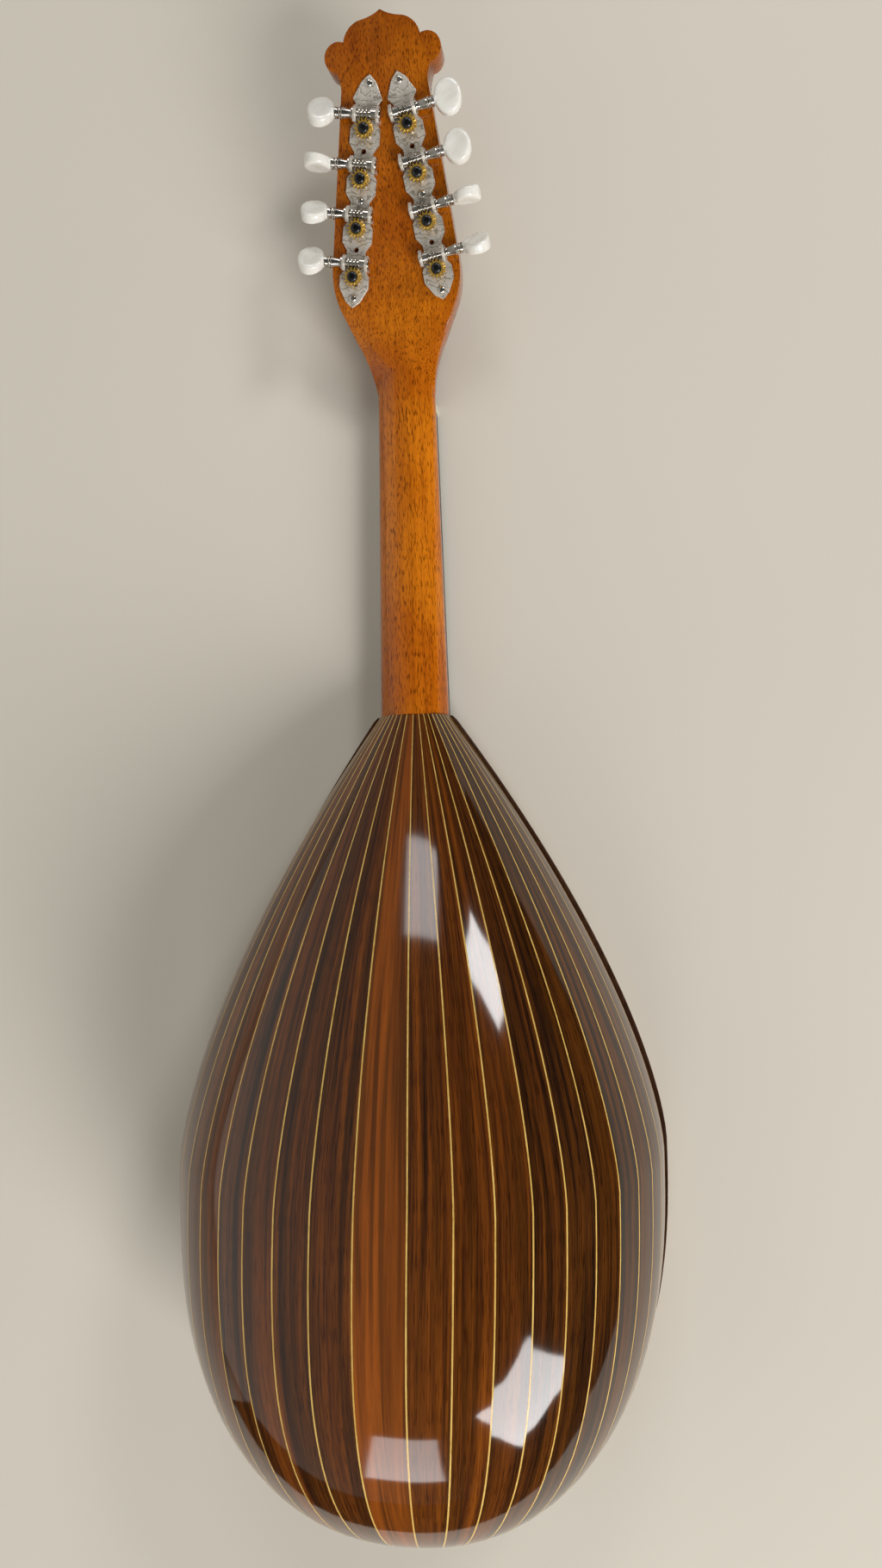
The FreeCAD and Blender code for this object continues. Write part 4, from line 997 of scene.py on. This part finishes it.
buttonLook = {"start": 14.0, "length": 12.3, "halfHeight": 7.9, "thickness": 7.4, "dish": 0.34,
              "flare": 0.14, "squareness": 0.42, "plan": 0.78, "segments": 40, "rings": 24,
              "collar": ((13.6, 1.6), (13.8, 2.2), (14.6, 2.5), (15.6, 2.4))}


def makeButtonPattern():
    look = buttonLook
    bpy.ops.object.select_all(action="DESELECT")
    bpy.ops.mesh.primitive_uv_sphere_add(segments=look["segments"], ring_count=look["rings"], radius=1.0)
    button = newPiece("buttonPattern")
    for vertex in button.data.vertices:
        x, y, z = vertex.co
        flat = math.copysign(abs(z) ** look["squareness"], z)
        radius = math.hypot(x, y)
        fuller = radius ** look["plan"] / radius if radius > 1e-5 else 0.0
        x, y = x * fuller, y * fuller
        waist = 1.0 - look["dish"] * (1.0 - x * x) * (1.0 - 0.5 * y * y) + look["flare"] * x
        vertex.co = (look["start"] + look["length"] * 0.5 * (x + 1.0), look["halfHeight"] * y,
                     0.5 * look["thickness"] * flat * waist)
    button.data.update()
    collar = turnOnLathe("collar", look["collar"], 24)
    pattern = joinPieces([button, collar], "buttonPattern")
    smoothByAngle(pattern, 40.0)
    return pattern


gearLook = {"teeth": 14, "perTooth": 8, "root": 3.1, "outer": 4.4, "pitchRadius": 3.75, "thickness": 2.6,
            "level": 4.0, "edge": 0.12, "tips": (0.0, 0.0, 0.10, 0.86, 1.0, 1.0, 0.86, 0.10),
            "tipWidth": 0.50, "flankWidth": 0.70}


def makeGearPattern():
    look = gearLook
    count = look["teeth"] * look["perTooth"]
    bpy.ops.object.select_all(action="DESELECT")
    bpy.ops.mesh.primitive_cylinder_add(vertices=count, radius=1.0, depth=look["thickness"],
                                        end_fill_type="NGON", location=(0.0, 0.0, look["level"]))
    bpy.ops.object.transform_apply(location=True, rotation=True, scale=True)
    gear = newPiece("gearPattern")
    tips = look["tips"]
    for vertex in gear.data.vertices:
        angle = math.atan2(vertex.co.y, vertex.co.x)
        step = round((angle - math.pi / 2.0) / (2.0 * math.pi) * count)
        phase = step % look["perTooth"]
        radius = look["root"] + (look["outer"] - look["root"]) * tips[phase]
        toothStep = (step // look["perTooth"]) + 0.5
        middle = math.pi / 2.0 + toothStep * 2.0 * math.pi / look["teeth"]
        away = (phase - 0.5 * (look["perTooth"] + 1)) * 2.0 * math.pi / count
        narrow = look["tipWidth"] if tips[phase] > 0.9 else look["flankWidth"]
        lean = math.copysign(math.radians(gearTwist()), vertex.co.z - look["level"])
        turned = middle + away * narrow + lean
        vertex.co = (radius * math.cos(turned), radius * math.sin(turned), vertex.co.z)
    gear.data.update()
    roundEdges(gear, look["edge"], 1, 50.0)
    smoothByAngle(gear, 30.0)
    return gear


def gearTwist():
    pitchRadius = gearLook["pitchRadius"]
    slope = threadLook["lead"] / (2.0 * math.pi * (tunerShape["centreY"] - pitchRadius))
    return math.degrees(gearLook["thickness"] / 2.0 * slope / pitchRadius)


gearScrewLook = {"radius": 2.45, "height": 1.45, "base": 5.3, "armLength": 2.2, "armWidth": 0.62,
                 "depth": 0.9}
plateScrewLook = {"radius": 1.7, "height": 0.95, "base": 1.0, "armLength": 1.9, "armWidth": 0.42,
                  "depth": 0.6}


def makeScrewPattern(name, look):
    bpy.ops.object.select_all(action="DESELECT")
    bpy.ops.mesh.primitive_uv_sphere_add(segments=32, ring_count=16, radius=1.0)
    head = newPiece(name)
    startEdit(head)
    bpy.ops.mesh.bisect(plane_co=(0.0, 0.0, 0.0), plane_no=(0.0, 0.0, -1.0), use_fill=True, clear_outer=True)
    endEdit()
    for vertex in head.data.vertices:
        x, y, z = vertex.co
        crown = look["height"] * z ** 0.8 if z > 0.0 else 0.0
        vertex.co = (x * look["radius"], y * look["radius"], look["base"] + crown)
    head.data.update()
    for turn in (0.0, math.pi / 2.0):
        bpy.ops.object.select_all(action="DESELECT")
        bpy.ops.mesh.primitive_cube_add(size=1.0, rotation=(0.0, 0.0, turn),
                                        location=(0.0, 0.0, look["base"] + look["height"]))
        arm = newPiece("arm")
        arm.scale = (look["armLength"], look["armWidth"], look["depth"] * 2.0)
        bpy.ops.object.transform_apply(location=True, rotation=True, scale=True)
        cutWith(head, arm)
    faceOutwards(head)
    smoothByAngle(head, 32.0)
    return head


postLook = {"sides": 32, "profile": (
    (-25.0, 1.6), (-24.7, 2.3), (-24.2, 2.7), (-23.4, 2.8), (-21.2, 2.8), (-20.8, 2.5), (-20.4, 2.15),
    (-19.2, 1.95), (-17.6, 1.95), (-16.4, 2.15), (-16.0, 2.5), (-15.6, 2.8), (2.6, 2.8), (2.7, 2.7)),
    "holeRadius": 0.75, "holeLevel": -18.4}


def makePostPattern():
    post = turnOnLathe("postPattern", postLook["profile"], postLook["sides"])
    post.data.transform(Matrix.Rotation(-math.pi / 2.0, 4, "Y"))
    bpy.ops.object.select_all(action="DESELECT")
    bpy.ops.mesh.primitive_cylinder_add(vertices=20, radius=postLook["holeRadius"], depth=8.0,
                                        rotation=(math.pi / 2.0, 0.0, 0.0),
                                        location=(0.0, 0.0, postLook["holeLevel"]))
    cutWith(post, newPiece("postHole"))
    faceOutwards(post)
    smoothByAngle(post, 32.0)
    return post


def makeTuners():
    patterns = {"shaft": makeShaftPattern(), "button": makeButtonPattern(), "gear": makeGearPattern(),
                "screw": makeScrewPattern("gearScrewPattern", gearScrewLook), "post": makePostPattern()}
    for sideName, side, turns in sides:
        for number in range(tunerShape["count"]):
            label = "%s_%d" % (sideName, number + 1)
            title = "%s%d" % (sideName.capitalize(), number + 1)
            post = tunerMatrix(label)
            shaft = wormMatrix(label, side, 0.0)
            button = wormMatrix(label, side, turns[number])
            screw = post @ Matrix.Rotation(math.radians(25.0 + 37.0 * number + 11.0 * side), 4, "Z")
            for kind, name, matrix, finish, body, slotName, node in (
                    ("shaft", "wormShaft", shaft, nickelMetal, "key_", "nickel", "worm_shaft_"),
                    ("button", "tunerButton", button, buttonPearl, "key_", "pearl_plastic", "tuner_button_"),
                    ("gear", "gearWheel", post, brassMetal, "post_", "gear_brass", "gear_wheel_"),
                    ("screw", "gearScrew", screw, blackScrewMetal, "post_", "black_screw", "gear_screw_"),
                    ("post", "stringPost", post, postMetal, "post_", "steel_post", "string_post_")):
                piece = copyShape(patterns[kind], name + title)
                placeAtOrigin(piece, matrix)
                finishPiece(piece, [finish], body + label, slotName, [node + label])
    for pattern in patterns.values():
        bpy.data.objects.remove(pattern)


makeTuners()
print("tuning machines made")

plateLook = {"bevel": 0.00018, "earWiden": 1.3, "earLift": 1.3, "planRound": 0.0024, "leafHigh": 9.0,
             "leafLow": -65.0, "holeRadius": 1.15, "holeY": -8.1, "holePosts": (1, 3), "holeDepth": 2.5,
             "earReachX": 8.0, "earReachY": 3.2, "earFoot": 0.2, "neckEdge": 0.0009,
             "screwHigh": 19.8, "screwMiddle": -8.2, "screwLow": -8.4}


def addPostHoles():
    cutters = []
    for sideName, _, _ in sides:
        for number in plateLook["holePosts"]:
            bpy.ops.object.select_all(action="DESELECT")
            bpy.ops.mesh.primitive_cylinder_add(vertices=28, radius=plateLook["holeRadius"], depth=8.0)
            cutter = newPiece("holeCutter")
            lower = Matrix.Translation((0.0, plateLook["holeY"], 4.0 - plateLook["holeDepth"]))
            placeAtOrigin(cutter, tunerMatrix("%s_%d" % (sideName, number)) @ lower)
            cutters.append(cutter)
    return joinPieces(cutters, "holeCutters")


def widenEars(plates):
    base = tunerShape["plateThickness"] + plateLook["earFoot"]
    for sideName, side, _ in sides:
        for number in range(1, tunerShape["count"] + 1):
            matrix = tunerMatrix("%s_%d" % (sideName, number))
            inverse = matrix.inverted()
            for vertex in plates.data.vertices:
                spot = inverse @ vertex.co
                aside, rise = spot.y - tunerShape["centreY"], spot.z - tunerShape["wormZ"]
                near = abs(aside) < plateLook["earReachY"] and abs(spot.x) < plateLook["earReachX"]
                if spot.z > base and near:
                    lift = plateLook["earLift"] if rise > 0.0 else 1.0
                    spot.y = tunerShape["centreY"] + aside * plateLook["earWiden"]
                    spot.z = tunerShape["wormZ"] + rise * lift
                    vertex.co = matrix @ spot
    plates.data.update()


def roundPlan(plates):
    upward = Vector(joints["post_left_1"]["axis"]).normalized()
    startEdit(plates)
    bpy.ops.mesh.select_all(action="DESELECT")
    endEdit()
    vertices = plates.data.vertices
    for edge in plates.data.edges:
        along = vertices[edge.vertices[1]].co - vertices[edge.vertices[0]].co
        tall = abs(along.length - tunerShape["plateThickness"] * mm) < 0.00005
        upright = abs(along.normalized().dot(upward)) > 0.999
        edge.select = tall and upright and onLeaf(vertices[edge.vertices[0]].co)
    selectOnly(plates)
    bpy.ops.object.mode_set(mode="EDIT")
    bpy.ops.mesh.bevel(offset=plateLook["planRound"], segments=6, affect="EDGES", clamp_overlap=True)
    endEdit()


def onLeaf(point):
    level = (tunerMatrix("left_1").inverted() @ point).y
    return level > plateLook["leafHigh"] or level < plateLook["leafLow"]


def makePlatesAndNeck():
    cutters = addPostHoles()
    plates = copyNode("tuner_plates", "tunerPlates")
    cutWith(plates, cutters, keep=True)
    widenEars(plates)
    roundPlan(plates)
    roundEdges(plates, plateLook["bevel"], 2, 40.0)
    smoothByAngle(plates, 35.0)
    finishPiece(plates, [plateMetal], fixedBody, "nickel", ["tuner_plates"])
    neck = copyNode("neck", "neckAndHead")
    cutWith(neck, cutters)
    roundEdges(neck, plateLook["neckEdge"], 3, 50.0)
    smoothByAngle(neck, 40.0)
    finishPiece(neck, [neckWood], fixedBody, "mahogany", ["neck"])


def makeScrews():
    pattern = makeScrewPattern("plateScrewPattern", plateScrewLook)
    heads = []
    shifts = ((1, plateLook["screwHigh"]), (2, plateLook["screwMiddle"]), (4, plateLook["screwLow"]))
    for sideName, side, _ in sides:
        for number, shift in shifts:
            head = copyShape(pattern, "plateScrew")
            turn = Matrix.Rotation(math.radians(31.0 * number + 17.0 * side), 4, "Z")
            place = tunerMatrix("%s_%d" % (sideName, number)) @ Matrix.Translation((0.0, shift, 0.0)) @ turn
            placeAtOrigin(head, place)
            heads.append(head)
    finishPiece(joinPieces(heads, "plateScrews"), [nickelMetal], fixedBody, "nickel", ["plate_screws"])
    low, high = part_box("tailpiece_screws")
    heads = []
    for share in (0.0, 0.5, 1.0):
        head = copyShape(pattern, "tailScrew")
        reach = plateScrewLook["radius"] * mm
        x = low.x + reach + (high.x - low.x - 2.0 * reach) * share
        middle = Vector((x, low.y + plateScrewLook["height"] * mm, 0.5 * (low.z + high.z)))
        turn = (Matrix.Translation(middle) @ Matrix.Rotation(math.pi / 2.0, 4, "X") @ Matrix.Scale(mm, 4)
                @ Matrix.Translation((0.0, 0.0, -plateScrewLook["base"])))
        placeAtOrigin(head, turn)
        heads.append(head)
    finishPiece(joinPieces(heads, "tailScrews"), [nickelMetal], fixedBody, "nickel", ["tailpiece_screws"])
    bpy.data.objects.remove(pattern)


makePlatesAndNeck()
makeScrews()
print("plates, neck and screws made")


# strings: from the tailpiece hooks over the saddle and the nut to their posts

stringLook = {"radii": (0.43, 0.31, 0.18, 0.14), "nutPitch": 6.6, "nutGap": 2.0, "saddlePitch": 12.0,
              "saddleGap": 2.6, "turns": 3, "steps": 20, "postReach": 2.88, "level": -17.0,
              "slotClearance": 0.06, "turnGap": 0.06, "hookIn": 0.0042, "hookRise": 0.0012,
              "nutBack": -2.2, "nutFront": 2.0, "saddleHalf": 1.3, "hookShare": 0.75}


def restLevel(y):
    rise = (restPlane["saddleCrown"] - restPlane["nutCrown"]) * -y / restPlane["scaleLength"]
    return -restPlane["nutCrown"] - rise


def stringPath(course, pair):
    look = stringLook
    radius = look["radii"][course]
    middle = course - 1.5
    nutX = middle * look["nutPitch"] + pair * look["nutGap"] / 2.0
    saddleX = middle * look["saddlePitch"] + pair * look["saddleGap"] / 2.0
    side = -1 if course < 2 else 1
    rank = 2 * course + (pair + 1) // 2
    number = tunerShape["count"] - rank if side < 0 else rank - tunerShape["count"] + 1
    label = "%s_%d" % ("left" if side < 0 else "right", number)
    low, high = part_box("tailpiece")
    path = [Vector((saddleX * look["hookShare"] * mm, high.y - look["hookIn"], low.z + look["hookRise"]))]
    saddleY = -restPlane["scaleLength"]
    for x, y in ((saddleX, saddleY - look["saddleHalf"]), (saddleX, saddleY + look["saddleHalf"]),
                 (nutX, look["nutBack"]), (nutX, look["nutFront"])):
        path.append(fromDrawing @ Vector((x, y, restLevel(y) + look["slotClearance"] + radius)))
    post = tunerMatrix(label)
    start = math.pi if side > 0 else 0.0
    for step in range(look["turns"] * look["steps"] + 1):
        angle = start - side * 2.0 * math.pi * step / look["steps"]
        level = look["level"] - (2.0 * radius + look["turnGap"]) * step / look["steps"]
        reach = look["postReach"] + radius
        path.append(post @ Vector((reach * math.cos(angle), reach * math.sin(angle), level)))
    return path, radius * mm


def makeString(course, pair):
    path, radius = stringPath(course, pair)
    curve = bpy.data.curves.new("string", "CURVE")
    curve.dimensions = "3D"
    curve.bevel_depth = radius
    curve.bevel_resolution = 2
    curve.use_fill_caps = True
    spline = curve.splines.new("POLY")
    spline.points.add(len(path) - 1)
    for spot, point in zip(spline.points, path):
        spot.co = (point.x, point.y, point.z, 1.0)
    wire = bpy.data.objects.new("string", curve)
    bpy.context.scene.collection.objects.link(wire)
    selectOnly(wire)
    bpy.ops.object.convert(target="MESH")
    return bpy.context.view_layer.objects.active


def makeStrings():
    for name, courses, finish, nodes in (("woundStrings", (0, 1), woundMetal, ["strings"]),
                                         ("plainStrings", (2, 3), stringMetal, [])):
        wires = [makeString(course, pair) for course in courses for pair in (-1, 1)]
        joined = joinPieces(wires, name)
        smoothByAngle(joined, 60.0)
        finishPiece(joined, [finish], fixedBody, "string_steel", nodes)


makeStrings()
print("strings made")


# camera, floor and studio light

cameraLook = {"place": (0.081818, -0.019575, 0.505988), "turn": (0.8834, 8.1084, -1.6341), "lens": 23.9934,
              "sensor": 36.0}


def addCamera():
    data = bpy.data.cameras.new("camera")
    data.lens = cameraLook["lens"]
    data.sensor_width = cameraLook["sensor"]
    data.clip_start = 0.01
    camera = bpy.data.objects.new("camera", data)
    camera.location = cameraLook["place"]
    camera.rotation_euler = [math.radians(angle) for angle in cameraLook["turn"]]
    bpy.context.scene.collection.objects.link(camera)
    bpy.context.scene.camera = camera


floorLook = {"size": 8.0, "patchScale": 3.0, "dark": (0.63, 0.585, 0.50), "light": (0.70, 0.65, 0.56),
             "cardDark": (0.012, 0.011, 0.010), "cardLight": (0.020, 0.018, 0.016), "rough": 0.9}


def addFloor():
    bpy.ops.object.select_all(action="DESELECT")
    bpy.ops.mesh.primitive_plane_add(size=floorLook["size"])
    floor = newPiece("floor")
    material, tree, shader, place = startMaterial("paleFloor")
    shade = addNoise(tree, place.outputs["Object"], floorLook["patchScale"], 2.0)
    tree.links.new(addMix(tree, shade, floorLook["dark"], floorLook["light"]), shader.inputs["Base Color"])
    shader.inputs["Roughness"].default_value = floorLook["rough"]
    floor.data.materials.append(material)


lightLook = {"distance": 3.0, "leftSky": (0.85, 0.82, 0.76), "rightSky": (0.03, 0.03, 0.03),
             "skySpan": (0.35, -1.0), "cards": (0.40, -0.62), "cardHeight": 0.15, "cardReach": 0.5,
             "lamps": (((0.012, -0.054, 0.075), (0.012, 0.806, 0.592), (0.95, 0.75), 6.5),
                       ((0.038, -0.087, 0.086), (0.512, 0.654, 0.557), (0.75, 0.55), 18.0),
                       ((0.052, -0.237, 0.121), (0.608, -0.634, 0.478), (1.60, 1.60), 12.5),
                       ((0.010, -0.258, 0.128), (-0.084, -0.876, 0.474), (0.85, 1.10), 5.0))}


def addCards():
    # two low dark cards beside and below the picture, seen only in the varnish
    material, tree, shader, place = startMaterial("darkCard")
    cloth = addNoise(tree, place.outputs["Object"], 60.0, 2.0)
    tree.links.new(addMix(tree, cloth, floorLook["cardDark"], floorLook["cardLight"]),
                   shader.inputs["Base Color"])
    shader.inputs["Roughness"].default_value = floorLook["rough"]
    right, below = lightLook["cards"]
    reach, height = lightLook["cardReach"], lightLook["cardHeight"]
    for corners in (((right, below), (right, reach)), ((-reach, below), (right, below))):
        bpy.ops.object.select_all(action="DESELECT")
        bpy.ops.mesh.primitive_plane_add(size=1.0)
        card = newPiece("darkCard")
        (x1, y1), (x2, y2) = corners
        outline = ((x1, y1, 0.0), (x2, y2, 0.0), (x1, y1, height), (x2, y2, height))
        for vertex, spot in zip(card.data.vertices, outline):
            vertex.co = spot
        card.data.materials.append(material)
        card.visible_camera = card.visible_diffuse = card.visible_shadow = card.visible_transmission = False


def addLights():
    for index, (spot, direction, size, brightness) in enumerate(lightLook["lamps"]):
        data = bpy.data.lights.new("window%d" % (index + 1), "AREA")
        data.shape = "RECTANGLE"
        data.size, data.size_y = size
        data.energy = brightness * math.pi * size[0] * size[1]
        lamp = bpy.data.objects.new(data.name, data)
        lamp.location = Vector(spot) + Vector(direction).normalized() * lightLook["distance"]
        lamp.rotation_euler = Vector(direction).to_track_quat("Z", "Y").to_euler()
        bpy.context.scene.collection.objects.link(lamp)


def addSky():
    world = bpy.data.worlds.new("studio")
    bpy.context.scene.world = world
    world.use_nodes = True
    tree = world.node_tree
    place = tree.nodes.new("ShaderNodeTexCoord")
    apart = tree.nodes.new("ShaderNodeSeparateXYZ")
    tree.links.new(place.outputs["Generated"], apart.inputs[0])
    share = addMath(tree, "POWER", addRange(tree, apart.outputs["X"], *lightLook["skySpan"]), 2.0)
    color = addMix(tree, share, lightLook["rightSky"], lightLook["leftSky"])
    tree.links.new(color, tree.nodes["Background"].inputs["Color"])


addCamera()
addFloor()
addCards()
addLights()
addSky()
print("camera, floor and lights placed")
